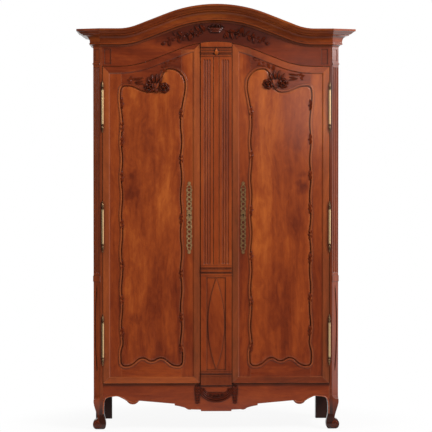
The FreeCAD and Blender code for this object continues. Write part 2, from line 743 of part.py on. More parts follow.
mitre_section = section(mitre_point)
end_section = section(lambda p, height: Vector(half_body + p, float(back), base_z + height))
corner = Part.makeLoft([front_section(corner_x, base_z), mitre_section], True, True)
run_back = Part.makeLoft([mitre_section, end_section], True, True)
for name, shape in (("corner", corner), ("side", run_back)):
    right = keep(shaped(f"cornice_{name}_shape", shape), f"cornice_right_{name}")
    keep(mirrored(f"cornice_{name}_mirror", right), f"cornice_left_{name}")

# Side frames: rails tenoned into the posts, panels in grooves
fit = dim.joint_clearance
middle_low = dim.side_middle_level - dim.side_middle_height / 2
middle_high = middle_low + dim.side_middle_height
top_low = dim.post_height - dim.side_top_height
bottom_high = dim.side_bottom_level + dim.side_bottom_height
tenon_mid = (side_outer + side_inner) / 2
tenon_x = (tenon_mid - dim.tenon_thickness / 2, tenon_mid + dim.tenon_thickness / 2)
rail_y = (post_back, rear_front)
long_y = (post_back - dim.tenon_length, rear_front + dim.tenon_length)
front_tools = [grown("top_rail_mortise", *top_tenon, fit), grown("apron_mortise", *apron_tenon, fit)]
front_tools += peg_holes
rear_tools = []
rails = {}
for name, low, high in (("top", top_low, dim.post_height),
                        ("middle", middle_low, middle_high),
                        ("bottom", dim.side_bottom_level, bottom_high)):
    board = block(f"side_{name}_board", (side_inner, side_outer), rail_y, (low, high))
    tenon = (tenon_x, long_y, (low + dim.tenon_inset, high - dim.tenon_inset))
    rails[name] = joined(f"side_{name}_whole", [board, block(f"side_{name}_tenon", *tenon)])
    mortise = grown(f"side_{name}_mortise", *tenon, fit)
    front_tools.append(mortise)
    rear_tools.append(mortise)
panel_x = (tenon_mid - dim.panel_thickness / 2, tenon_mid + dim.panel_thickness / 2)
grooves = {"top": [], "middle": [], "bottom": []}
deep_groove = dim.groove_depth
for name, low, high, lower, upper in (("lower", bottom_high, middle_low, "bottom", "middle"),
                                      ("upper", middle_high, top_low, "middle", "top")):
    tongue_y = (post_back - deep_groove, rear_front + deep_groove)
    tongue_z = (low - deep_groove, high + deep_groove)
    sheet_part = block(f"side_{name}_sheet", panel_x, tongue_y, tongue_z)
    field = doc.addObject("Part::Wedge", f"side_{name}_field")
    field.Placement.Rotation = FreeCAD.Rotation(Vector(0, 0, 1), -90)
    length = rear_front - post_back - 1
    rise_z = high - low - 1
    for prop, number in (("Xmin", 0), ("Xmax", length), ("Zmin", 0), ("Zmax", rise_z),
                         ("Ymin", 0), ("Ymax", dim.panel_raise),
                         ("X2min", dim.panel_bevel), ("X2max", length - dim.panel_bevel),
                         ("Z2min", dim.panel_bevel), ("Z2max", rise_z - dim.panel_bevel)):
        field.setExpression(prop, as_size(number).text)
    field.setExpression("Placement.Base.x", panel_x[1].text)
    field.setExpression("Placement.Base.y", (rear_front - 0.5).text)
    field.setExpression("Placement.Base.z", (low + 0.5).text)
    right = keep(joined(f"side_{name}_panel_whole", [sheet_part, field]), f"right_side_{name}_panel")
    keep(mirrored(f"side_{name}_panel_mirror", right), f"left_side_{name}_panel")
    tool = grown(f"side_{name}_groove", panel_x, tongue_y, tongue_z, fit)
    grooves[lower].append(tool)
    grooves[upper].append(tool)
    front_tools.append(tool)
    rear_tools.append(tool)
for name, whole in rails.items():
    right = keep(trimmed(f"side_{name}_rail", whole, grooves[name]), f"right_side_{name}_rail")
    keep(mirrored(f"side_{name}_rail_mirror", right), f"left_side_{name}_rail")

# Back frame: rails between the rear posts, upright boards fixed inside them
back_outer = back - dim.back_inset
back_inner = back_outer - dim.back_thickness
back_mid = (back_outer + back_inner) / 2
half_rail = dim.back_rail_height / 2
for name, level in (("top", dim.post_height - half_rail),
                    ("middle", dim.back_middle_level),
                    ("bottom", dim.floor_top + 20 - half_rail)):
    low, high = level - half_rail, level + half_rail
    back_tenon_y = (back_mid - dim.tenon_thickness / 2, back_mid + dim.tenon_thickness / 2)
    tenon_reach = rear_inner + dim.tenon_length
    board = block(f"back_{name}_board", (-rear_inner, rear_inner), (back_inner, back_outer),
                  (low, high))
    tenons = ((-tenon_reach, tenon_reach), back_tenon_y, (low + dim.tenon_inset, high - dim.tenon_inset))
    keep(joined(f"back_{name}_whole", [board, block(f"back_{name}_tenon", *tenons)]),
         f"back_{name}_rail")
    rear_tools.append(grown(f"back_{name}_mortise", *tenons, fit))
plank_front = back_inner - dim.plank_thickness
plank_room = rear_inner * 2 - dim.plank_gap
planks = []
for index in range(6):
    left = -rear_inner + dim.plank_gap + plank_room / 6 * index
    planks.append(block(f"plank_{index}", (left, left + plank_room / 6 - dim.plank_gap),
                        (plank_front, back_inner), (dim.floor_top, dim.post_height - 2)))
keep(grouped("planks", planks), "back_boards")

right = keep(trimmed("front_post_cut", right_front_post, front_tools), "right_front_post")
keep(mirrored("front_post_mirror", right), "left_front_post")
right = keep(trimmed("rear_post_cut", right_rear_post, rear_tools), "right_rear_post")
keep(mirrored("rear_post_mirror", right), "left_rear_post")

# Floor, ceiling, shelves and their cleats
floor_body = doc.addObject("PartDesign::Body", "floor_body")
loose = dim.board_clearance
inner_front = rebate_back + loose
corners = [
    (post_inner - loose, inner_front), (post_inner - loose, post_back + loose),
    (side_inner - loose, post_back + loose), (side_inner - loose, rear_front - loose),
    (rear_inner - loose, rear_front - loose), (rear_inner - loose, back_inner - loose),
]
corners += [(-x, y) for x, y in reversed(corners)]
floor_sketch = sketch_on(floor_body, "floor_outline", "XY_Plane", corners)
floor_pad = floor_body.newObject("PartDesign::Pad", "floor_pad")
floor_pad.Profile = floor_sketch
floor_pad.setExpression("Length", dim.board_thickness.text)
floor_body.setExpression("Placement.Base.z", (dim.floor_top - dim.board_thickness).text)
keep(floor_body, "floor_boards")
ceiling_x = side - 8
keep(block("ceiling", (-ceiling_x, ceiling_x), (rebate_back, back),
           (dim.post_height, dim.post_height + dim.ceiling_thickness)), "ceiling_boards")


def cleat(label, top):
    right = block(label, (side_inner - dim.cleat_width, side_inner), rail_y,
                  (top - dim.cleat_height, top))
    return [right, mirrored(label + "_left", right)]


keep(grouped("floor_cleat_pair", cleat("floor_cleat", dim.floor_top - dim.board_thickness)),
     "floor_cleats")
cleats = []
shelf_x = side_inner - dim.shelf_clearance
for name, top in (("lower", dim.shelf_low), ("middle", dim.shelf_middle), ("upper", dim.shelf_high)):
    low = top - dim.shelf_thickness
    keep(block(f"shelf_{name}_board", (-shelf_x, shelf_x),
               (post_back + dim.shelf_clearance, rear_front - dim.shelf_clearance),
               (low, top)), f"shelf_{name}")
    cleats += cleat(f"shelf_{name}_cleat", low)
keep(grouped("shelf_cleat_set", cleats), "shelf_cleats")


# Doors: framed with mitred borders round a shaped opening, drawn for the right door
hinge_side = float(door_edge)
lock_side = float(meet_edge)
low_z = float(door_bottom)
gap = float(dim.door_gap)
shoulder_top = shoulder_z - gap


def door_outline(inset, y=0.0):
    # The door edge, or a line parallel to it
    left, right, drop = lock_side + inset, hinge_side - inset, -gap - inset
    steps = [[(right, low_z + inset)], [(right, arch_z(right, drop))]]
    steps += arch_steps(right, left, drop)
    return outline((left, low_z + inset), steps, y)


def rounded(points):
    # A closed line through the middles of a polygon's edges, with every corner an arc
    corners = flat(points)
    count = len(corners)
    runs = []
    for index, corner in enumerate(corners):
        before = corners[index - 1] - corner
        after = corners[(index + 1) % count] - corner
        reach_out = 0.48 * min(before.Length, after.Length)
        before.normalize()
        after.normalize()
        turn = math.pi - before.getAngle(after)
        radius = reach_out / math.tan(turn / 2)
        inward = before + after
        inward.normalize()
        middle = corner + inward * (radius / math.cos(turn / 2) - radius)
        runs.append((corner + before * reach_out, middle, corner + after * reach_out))
    edges = []
    for index, (first, middle, last) in enumerate(runs):
        edges.append(Part.Arc(first, middle, last).toShape())
        edges.append(Part.makeLine(last, runs[(index + 1) % count][0]))
    return Part.Wire(edges)


inset = float(dim.scallop_inset)
swing = float(dim.wave_size)
right_x = hinge_side - inset
left_x = lock_side + inset
mid_x = (left_x + right_x) / 2
breadth = right_x - left_x
# Feet and bumps below, two lobes with a dip between them above
base_z = low_z + float(dim.scallop_base)
bump = float(dim.scallop_bump)
head = float(dim.scallop_head)
wave_low = base_z + 2.3 * bump
wave_high = shoulder_top - 1.5 * head
wave_levels = [wave_low + (wave_high - wave_low) * index / 13 for index in range(14)]
shape_points = [(left_x - 2, base_z + 1.55 * bump), (left_x + 1, base_z), (left_x + 0.166 * breadth, base_z),
                (mid_x - 0.152 * breadth, base_z + bump), (mid_x, base_z + 0.31 * bump),
                (mid_x + 0.152 * breadth, base_z + bump), (right_x - 0.166 * breadth, base_z),
                (right_x - 1, base_z), (right_x + 2, base_z + 1.55 * bump)]
shape_points += [(right_x - swing * (index % 2 == 0), level) for index, level in enumerate(wave_levels)]
shape_points += [(right_x + 3, shoulder_top - 1.11 * head), (right_x - 4, shoulder_top - 0.74 * head),
                 (right_x - 0.188 * breadth, shoulder_top - 0.74 * head),
                 (mid_x + 0.133 * breadth, shoulder_top - 0.96 * head),
                 (mid_x - 0.02 * breadth, shoulder_top - head),
                 (mid_x - 0.1 * breadth, shoulder_top - 0.84 * head),
                 (mid_x - 0.165 * breadth, shoulder_top - 0.29 * head),
                 (mid_x - 0.23 * breadth, shoulder_top - 0.06 * head),
                 (left_x + 0.1 * breadth, shoulder_top - 0.08 * head),
                 (left_x - 12, shoulder_top - 0.4 * head), (left_x - 18, shoulder_top - 0.86 * head)]
shape_points += [(left_x + swing * (index % 2 == 0), level)
                 for index, level in reversed(list(enumerate(wave_levels)))]
opening = rounded(shape_points)

thick_back = float(door_back)
face_y = float(front)
field_y = float(field_face)
step_down = float(dim.border_step)
border = float(dim.border_width)
whole = slab(door_outline(0), face_y, thick_back)
pocket = Part.makeLoft([door_outline(border, face_y), door_outline(border + step_down, field_y)],
                       True, True)
lid = slab(door_outline(border), face_y - 1, face_y)
bead_wide = float(dim.bead_width)
bead_top = field_y - float(dim.bead_height)
bead_outer = opening.makeOffset2D(bead_wide)
bead_mid = opening.makeOffset2D(bead_wide - 4)
bead = slab(bead_outer, bead_top + 2, field_y).fuse(slab(bead_mid, bead_top, field_y))
tongue_face = face_y + float(dim.panel_setback)
tongue_back = tongue_face + float(dim.panel_tongue)
slack = float(dim.joint_clearance)
tongue_wire = opening.makeOffset2D(float(dim.tongue_depth))
groove = slab(opening.makeOffset2D(float(dim.tongue_depth) + slack), tongue_face - slack,
              tongue_back + slack)
door_frame = whole.cut([pocket, lid]).fuse(bead)
door_frame = door_frame.cut([slab(opening, face_y - 5, thick_back + 5), groove])
panel = slab(tongue_wire, tongue_face, tongue_back)
panel_front = tongue_face - float(dim.panel_field)
panel = panel.fuse(slab(opening.makeOffset2D(-float(dim.panel_reveal)), panel_front, tongue_face)).removeSplitter()

stile = float(dim.stile_width)
crown_top = arch_z(lock_side, -gap)
stile_low = low_z + border
split_low = low_z + float(dim.bottom_rail_height)


def stile_region(edge, inward, top):
    # The front view of one stile: mitred at the border, to the opening between the rails
    joint = edge + inward * stile
    corner = edge + inward * border
    beyond = edge - inward * 9
    points = [(edge, low_z), (corner, stile_low), (joint, stile_low), (joint, split_low),
              (mid_x, split_low), (mid_x, wave_high), (joint, wave_high), (joint, top - border),
              (corner, top - border), (edge, top), (beyond, top), (beyond, low_z)]
    return slab(outline(points[0], [[point] for point in points[1:]]), *deep_range)


deep_range = (face_y - 20, thick_back + 20)
hinge_region = stile_region(hinge_side, -1, shoulder_top)
lock_region = stile_region(lock_side, 1, crown_top)
low_region = solid_box((lock_side - 5, hinge_side + 5), deep_range, (low_z - 5, split_low))
hinge_stile = door_frame.common(hinge_region)
lock_stile = door_frame.common(lock_region)
rails_only = door_frame.cut([hinge_region, lock_region])
bottom_rail = rails_only.common(low_region)
top_rail = rails_only.cut(low_region)

# Tenons of the door rails in the stiles
tenon_front = face_y + float(dim.door_tenon_setback)
tenon_range = (tenon_front, tenon_front + float(dim.door_tenon_thickness))
tenon_room = float(dim.door_tenon_length)
rail_tenons = []
for low, high, rail_name in ((stile_low + 4, stile_low + 38, "bottom"),
                             (shoulder_top - border - 44, shoulder_top - border - 6, "hinge_top"),
                             (crown_top - border - 50, crown_top - border - 8, "lock_top")):
    at_hinge = (hinge_side - stile - 1, hinge_side - stile + tenon_room)
    at_lock = (lock_side + stile - tenon_room, lock_side + stile + 1)
    if rail_name != "lock_top":
        rail_tenons.append((rail_name, at_hinge, (low, high)))
    if rail_name != "hinge_top":
        rail_tenons.append((rail_name, at_lock, (low, high)))
for rail_name, room, level in rail_tenons:
    tenon = solid_box(room, tenon_range, level)
    socket = solid_box((room[0] - slack, room[1] + slack), (tenon_range[0] - slack,
                       tenon_range[1] + slack), (level[0] - slack, level[1] + slack))
    if room[0] > mid_x:
        hinge_stile = hinge_stile.cut(socket)
    else:
        lock_stile = lock_stile.cut(socket)
    if rail_name == "bottom":
        bottom_rail = bottom_rail.fuse(tenon)
    else:
        top_rail = top_rail.fuse(tenon)

# Keyhole through the lock stile and the escutcheon in front of it
plate_x = lock_side + float(dim.plate_inset)
key_z = float(dim.lock_level)


def keyhole(y_low, y_high):
    start = Vector(plate_x, y_low, key_z)
    hole = Part.makeCylinder(float(dim.key_radius), y_high - y_low, start, Vector(0, 1, 0))
    half_slot = float(dim.key_slot) / 2
    return hole.fuse(solid_box((plate_x - half_slot, plate_x + half_slot), (y_low, y_high),
                               (key_z - float(dim.key_drop), key_z)))


lock_stile = lock_stile.cut(keyhole(face_y - 5, thick_back + 1))
plate_mid = float(dim.plate_level)
half_wide = float(dim.plate_width) / 2
half_tall = float(dim.plate_height) / 2
plate_face = field_y - float(dim.plate_thickness)


def disc(x, z, radius, more=0.0):
    # A round part of the plate, or with more thickness a hole through it
    start = Vector(plate_x + x, plate_face - more, plate_mid + z)
    return Part.makeCylinder(radius, float(dim.plate_thickness) + 2 * more, start, Vector(0, 1, 0))


lobe = half_wide * 0.45
lobes = []
holes = []
for index in range(-6, 7):
    level = index * (half_tall - 46) / 6
    swell = half_wide - lobe - 1.5 - 2.5 * (abs(index) % 2)
    lobes += [disc(-swell, level, lobe + 1.5), disc(swell, level, lobe + 1.5)]
    if abs(plate_mid + level - key_z) > 24:
        holes.append(disc(0, level, 0.45 * half_wide, 1))
    holes += [disc(place, level + 13, 2.6, 1) for place in (-half_wide + 8.5, half_wide - 8.5)]
spine = solid_box((plate_x - half_wide + 4.5, plate_x + half_wide - 4.5), (plate_face, field_y),
                  (plate_mid - half_tall + 40, plate_mid + half_tall - 40))
for end in (-1, 1):
    lobes.append(disc(0, end * (half_tall - 30), half_wide - 4))
    lobes.append(disc(0, end * (half_tall - 9), 9))
    holes.append(disc(0, end * (half_tall - 28), 7, 1))
plate = spine.fuse(lobes).cut(holes + [keyhole(plate_face - 1, field_y + 1)]).removeSplitter()

for name, shape in (("hinge_stile", hinge_stile), ("lock_stile", lock_stile),
                    ("top_rail", top_rail), ("bottom_rail", bottom_rail), ("panel", panel),
                    ("escutcheon", plate)):
    right = keep(shaped(f"door_{name}", shape.removeSplitter()), f"right_door_{name}")
    keep(mirrored(f"door_{name}_mirror", right), f"left_door_{name}")

# Hinges: lower halves with pins on the posts, upper halves on the doors
barrel = dim.barrel_length / 2
knuckle = dim.knuckle_radius
vase = [(0.8, 0.02), (0.8, 0.09), (-3.2, 0.14), (-3.2, 0.18), (-0.9, 0.28), (0, 0.39), (-0.6, 0.52),
        (-2.8, 0.7), (-3.6, 0.8), (-2.4, 0.84), (-2.4, 0.89), (-4.2, 0.93)]
tip = [(knuckle + wider, dim.finial_length * share) for wider, share in vase]
hinge_levels = (dim.opening_bottom + dim.hinge_low, dim.hinge_middle, opening_shoulder - dim.hinge_high)
bore = dim.pin_radius + dim.pin_clearance
bore_depth = dim.pin_length + 2


def turned(label, corners, level):
    body = doc.addObject("PartDesign::Body", label)
    profile = sketch_on(body, label + "_profile", "XZ_Plane", corners)
    spun = body.newObject("PartDesign::Revolution", label + "_turned")
    spun.Profile = profile
    spun.ReferenceAxis = (profile, ["V_Axis"])
    spun.Angle = 360
    body.setExpression("Placement.Base.x", hinge_x.text)
    body.setExpression("Placement.Base.y", hinge_y.text)
    body.setExpression("Placement.Base.z", level.text)
    return body


leaf_y = (hinge_y + dim.pin_radius + 1.2, front + dim.leaf_depth)
door_halves = []
post_halves = []
for index, level in enumerate(hinge_levels):
    upper = [(bore, 0.1), (knuckle, 0.1), (knuckle, barrel)]
    upper += [(radius, barrel + height) for radius, height in tip]
    upper += [(0, barrel + dim.finial_length), (0, bore_depth), (bore, bore_depth)]
    lower = [(0, dim.pin_length), (dim.pin_radius, dim.pin_length), (dim.pin_radius, 0),
             (knuckle, 0), (knuckle, -barrel)]
    lower += [(radius, -barrel - height) for radius, height in tip]
    lower += [(0, -barrel - dim.finial_length)]
    leaf = block(f"door_leaf_{index}", (door_edge, door_edge + dim.leaf_thickness), leaf_y,
                 (level + 4, level + barrel - 4))
    door_halves.append(joined(f"door_half_{index}", [turned(f"upper_{index}", upper, level), leaf]))
    leaf = block(f"post_leaf_{index}", (wall - dim.leaf_thickness, wall), leaf_y,
                 (level - barrel + 4, level - 4))
    post_halves.append(joined(f"post_half_{index}", [turned(f"lower_{index}", lower, level), leaf]))
right = keep(grouped("door_hinges", door_halves), "right_door_hinge_halves")
keep(mirrored("door_hinges_mirror", right), "left_door_hinge_halves")
right = keep(grouped("post_hinges", post_halves), "right_post_hinge_halves")
keep(mirrored("post_hinges_mirror", right), "left_post_hinge_halves")

# Rim locks with sliding bolts, and the keeps behind the centre post
case_low = meet_edge + dim.lock_inset
case_x = (case_low, case_low + dim.lock_width)
case_z = (dim.lock_level - dim.lock_height / 2, dim.lock_level + dim.lock_height / 2)
bolt_front = door_back + dim.lip_thickness + 3
bolt_x = (case_low + 0.5, case_low + 0.5 + dim.bolt_length)
bolt_y = (bolt_front, bolt_front + dim.bolt_thickness)
bolt_z = (dim.lock_level - dim.bolt_height / 2, dim.lock_level + dim.bolt_height / 2)
case = block("lock_box", case_x, (door_back, door_back + dim.lock_depth), case_z)
slot = grown("lock_slot", (case_low - 2, bolt_x[1]), bolt_y, bolt_z, dim.bolt_clearance)
right = keep(trimmed("lock_case_cut", case, [slot]), "right_door_lock_case")
keep(mirrored("lock_case_mirror", right), "left_door_lock_case")
right = keep(block("lock_bolt_bar", bolt_x, bolt_y, bolt_z), "right_door_lock_bolt")
keep(mirrored("lock_bolt_mirror", right), "left_door_lock_bolt")
lip_back = door_back + 1 + dim.lip_thickness
lip_edge = dim.lip_width / 2
keep_box = block("keep_box", (lip_edge - dim.keep_width, lip_edge), (lip_back, bolt_y[1] + 3),
                 (bolt_z[0] - 8, bolt_z[1] + 8))
thrown = (bolt_x[0] - dim.bolt_throw - 0.5, lip_edge + 2)
keep_slot = grown("keep_slot", thrown, bolt_y, bolt_z, dim.bolt_clearance)
right = trimmed("keep_cut", keep_box, [keep_slot])
keep(grouped("keeps", [right, mirrored("keep_mirror", right)]), "lock_keeps")

# Checks and files
doc.recompute()
for thing in doc.Objects:
    if "Invalid" in thing.State or "Error" in thing.State:
        raise SystemExit(f"{thing.Name} did not compute: {thing.State}")
for label, thing in pieces.items():
    if thing.Shape.isNull() or not thing.Shape.isValid() or not thing.Shape.Solids:
        raise SystemExit(f"{label} has no valid solid")
for label, thing in pieces.items():
    thing.Shape.exportStep(f"parts/{label}.step")
print(len(pieces), "sub-parts written")
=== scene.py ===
import math

import bpy
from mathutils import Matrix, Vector


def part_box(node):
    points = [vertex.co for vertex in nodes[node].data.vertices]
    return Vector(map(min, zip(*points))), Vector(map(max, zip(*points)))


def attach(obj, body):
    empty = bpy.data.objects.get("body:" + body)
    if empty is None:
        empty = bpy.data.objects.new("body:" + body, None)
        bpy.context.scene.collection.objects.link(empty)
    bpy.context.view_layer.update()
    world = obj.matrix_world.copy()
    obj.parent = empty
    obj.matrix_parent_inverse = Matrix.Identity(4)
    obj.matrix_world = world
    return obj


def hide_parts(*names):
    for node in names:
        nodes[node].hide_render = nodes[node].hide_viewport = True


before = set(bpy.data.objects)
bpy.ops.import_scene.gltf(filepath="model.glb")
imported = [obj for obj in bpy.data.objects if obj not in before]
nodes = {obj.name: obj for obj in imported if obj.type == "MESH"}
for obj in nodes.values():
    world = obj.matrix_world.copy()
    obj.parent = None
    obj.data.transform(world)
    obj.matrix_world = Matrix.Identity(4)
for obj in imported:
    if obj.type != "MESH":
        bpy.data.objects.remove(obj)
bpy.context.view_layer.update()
bpy.context.tool_settings.mesh_select_mode = (True, False, False)
print("frame loaded,", len(nodes), "nodes")


def linear(red, green, blue):
    # screen colour 0-255 to the linear colour that shaders use
    def one(value):
        value /= 255
        return value / 12.92 if value <= 0.04045 else ((value + 0.055) / 1.055) ** 2.4
    return (one(red), one(green), one(blue), 1.0)


class Sock:
    # a shader socket, so that node maths reads as plain expressions
    def __init__(self, tree, link):
        self.tree = tree
        self.link = link

    def node(self, kind, settings=None, inputs=None, out=0):
        made = self.tree.nodes.new(kind)
        for key, value in (settings or {}).items():
            if key == "stops":
                self.stops(made.color_ramp, value)
            else:
                setattr(made, key, value)
        for key, value in (inputs or {}).items():
            if isinstance(value, Sock):
                self.tree.links.new(value.link, made.inputs[key])
            else:
                made.inputs[key].default_value = value
        return Sock(self.tree, made.outputs[out])

    def stops(self, ramp, values):
        while len(ramp.elements) < len(values):
            ramp.elements.new(0.5)
        for element, (place, colour) in zip(ramp.elements, values):
            element.position = place
            element.color = colour

    def math(self, operation, first, second=0.0):
        return self.node("ShaderNodeMath", {"operation": operation}, {0: first, 1: second})

    def __add__(self, other):
        return self.math("ADD", self, other)

    __radd__ = __add__

    def __sub__(self, other):
        return self.math("SUBTRACT", self, other)

    def __rsub__(self, other):
        return self.math("SUBTRACT", other, self)

    def __mul__(self, other):
        return self.math("MULTIPLY", self, other)

    __rmul__ = __mul__

    def capped(self, most):
        return self.math("MINIMUM", self, most)

    def away(self):
        # how far from nought, either way
        return self.math("ABSOLUTE", self)

    def stretched(self, scale):
        return self.node("ShaderNodeVectorMath", {"operation": "MULTIPLY"}, {0: self, 1: scale})

    def moved(self, offset):
        return self.node("ShaderNodeVectorMath", {"operation": "ADD"}, {0: self, 1: offset})

    def length(self):
        return self.node("ShaderNodeVectorMath", {"operation": "LENGTH"}, {0: self}, out=1)

    def agreement(self, other):
        # 1 where two directions are the same
        return self.node("ShaderNodeVectorMath", {"operation": "DOT_PRODUCT"}, {0: self, 1: other}, out=1)

    def part(self, axis):
        split = self.node("ShaderNodeSeparateXYZ", None, {0: self})
        return Sock(self.tree, split.link.node.outputs[axis.upper()])

    def noise(self, scale, seed=0.0, detail=3.0, rough=0.5, twist=0.0):
        return self.node("ShaderNodeTexNoise", {"noise_dimensions": "4D"},
                         {"Vector": self, "W": seed, "Scale": scale, "Detail": detail,
                          "Roughness": rough, "Distortion": twist})

    def step(self, low, high, start=0.0, end=1.0):
        return self.node("ShaderNodeMapRange", {"interpolation_type": "SMOOTHSTEP"},
                         {0: self, 1: low, 2: high, 3: start, 4: end})

    def between(self, rise, fall):
        return self.step(*rise) * (1 - self.step(*fall))

    def blend(self, first, second):
        # mixes two colours by this value
        return self.node("ShaderNodeMix", {"data_type": "RGBA"}, {0: self, 6: first, 7: second}, out=2)

    def openness(self, reach):
        # 0 deep in a corner, 1 in the open
        return self.node("ShaderNodeAmbientOcclusion", {"samples": 8}, {"Distance": reach}, out=1)

    def rounded(self, radius):
        # the surface normal with its edges softened
        return self.node("ShaderNodeBevel", {"samples": 6}, {"Radius": radius})


def freshMaterial(name):
    material = bpy.data.materials.new(name)
    material.use_nodes = True
    material.node_tree.nodes.clear()
    tree = material.node_tree
    output = tree.nodes.new("ShaderNodeOutputMaterial")
    return material, tree, output


def place(tree):
    return Sock(tree, tree.nodes.new("ShaderNodeTexCoord").outputs["Object"])


cherry = {
    "dark": linear(82, 27, 9),
    "brown": linear(120, 45, 14),
    "warm": linear(150, 64, 20),
    "light": linear(186, 93, 33),
    "shadeAndGrime": linear(30, 11, 6),
    "wearAndSheen": linear(190, 118, 68),
    "stops": ((0.0, "dark"), (0.32, "brown"), (0.62, "warm"), (1.0, "light")),
    "middle": 0.48,            # where plain wood lies on those stops
    # painted light and shade: wood above this height is lighter, below it darker
    "heightShadingLevel": 1.2,          # height at which the fade changes sign
    "fleck": (0.6, 0.72), "fleckDepth": 0.25,
    "roughness": 0.3, "streakRoughness": 0.14, "nookRoughness": 0.25,
    "coatRoughness": 0.15,
    "soft": 0.0022,            # how far an edge is rounded by wear
}
# the figure: numbers per metre along the grain and across it, then seed, detail, roughness and twist
grainForm = {
    "drift": (1.1, 2.6, 0.0, 2.0, 0.5, 0.0),
    "bands": (1.2, 5.5, 1.3, 3.0, 0.5, 0.7),
    "flare": (2.6, 17.0, 2.9, 2.0, 0.5, 0.5),
    "mottle": (16.0, 38.0, 9.1, 3.0, 0.6, 0.8),
    "streaks": (5.0, 85.0, 3.1, 3.0, 0.6, 0.0),
    "pores": (30.0, 700.0, 7.7, 2.0, 0.5, 0.0),
    "ripple": (2.0, 5.0, 0.0, 1.0, 0.5, 0.0),
}
grainWeight = {"drift": 0.22, "bands": 1.0, "flare": 0.7, "mottle": 0.62, "streaks": 0.36}
# knots are nearly round, clouds are longer along the grain, and both have ragged edges
smudge = {"knot": (0.75, 0.0, 1.0), "lying": (0.7, 0.0, 1.6), "standing": (1.6, 0.0, 0.7),
          "noise": 1.1, "ragged": 1.8, "least": 0.1, "fringe": 1.6}
# depths behind the face of a door border: its flat, the bead at its edge and the foot of its step
borderStep = {"flat": (0.0024, 0.0036), "beadRise": (0.0008, 0.0016), "beadFall": (0.0026, 0.004),
              "footRise": (0.0034, 0.0046), "footFall": (0.0054, 0.006), "footShade": 0.85}
rubbed = {"lean": (0.82, 0.99), "open": (0.75, 0.95), "amount": 0.35}
# painted shade: how far corners, hollows, undersides and the holes of the key plates are darkened, mottled by
# a stain noise
paintedShade = {"nookReach": 0.014, "nook": (0.3, 0.92), "nookShade": 0.8,
          "hollowReach": 0.05, "hollow": (0.45, 0.95), "hollowShade": 0.45,
          "under": (-0.3, -0.85), "underShade": 0.45, "plateEdge": (0.75, 0.95), "plateShadeAndWax": 1.1,
          "stain": 14.0, "stainSeed": 5.0, "stainDepth": 0.5, "stainLeast": 0.65, "most": 0.92}


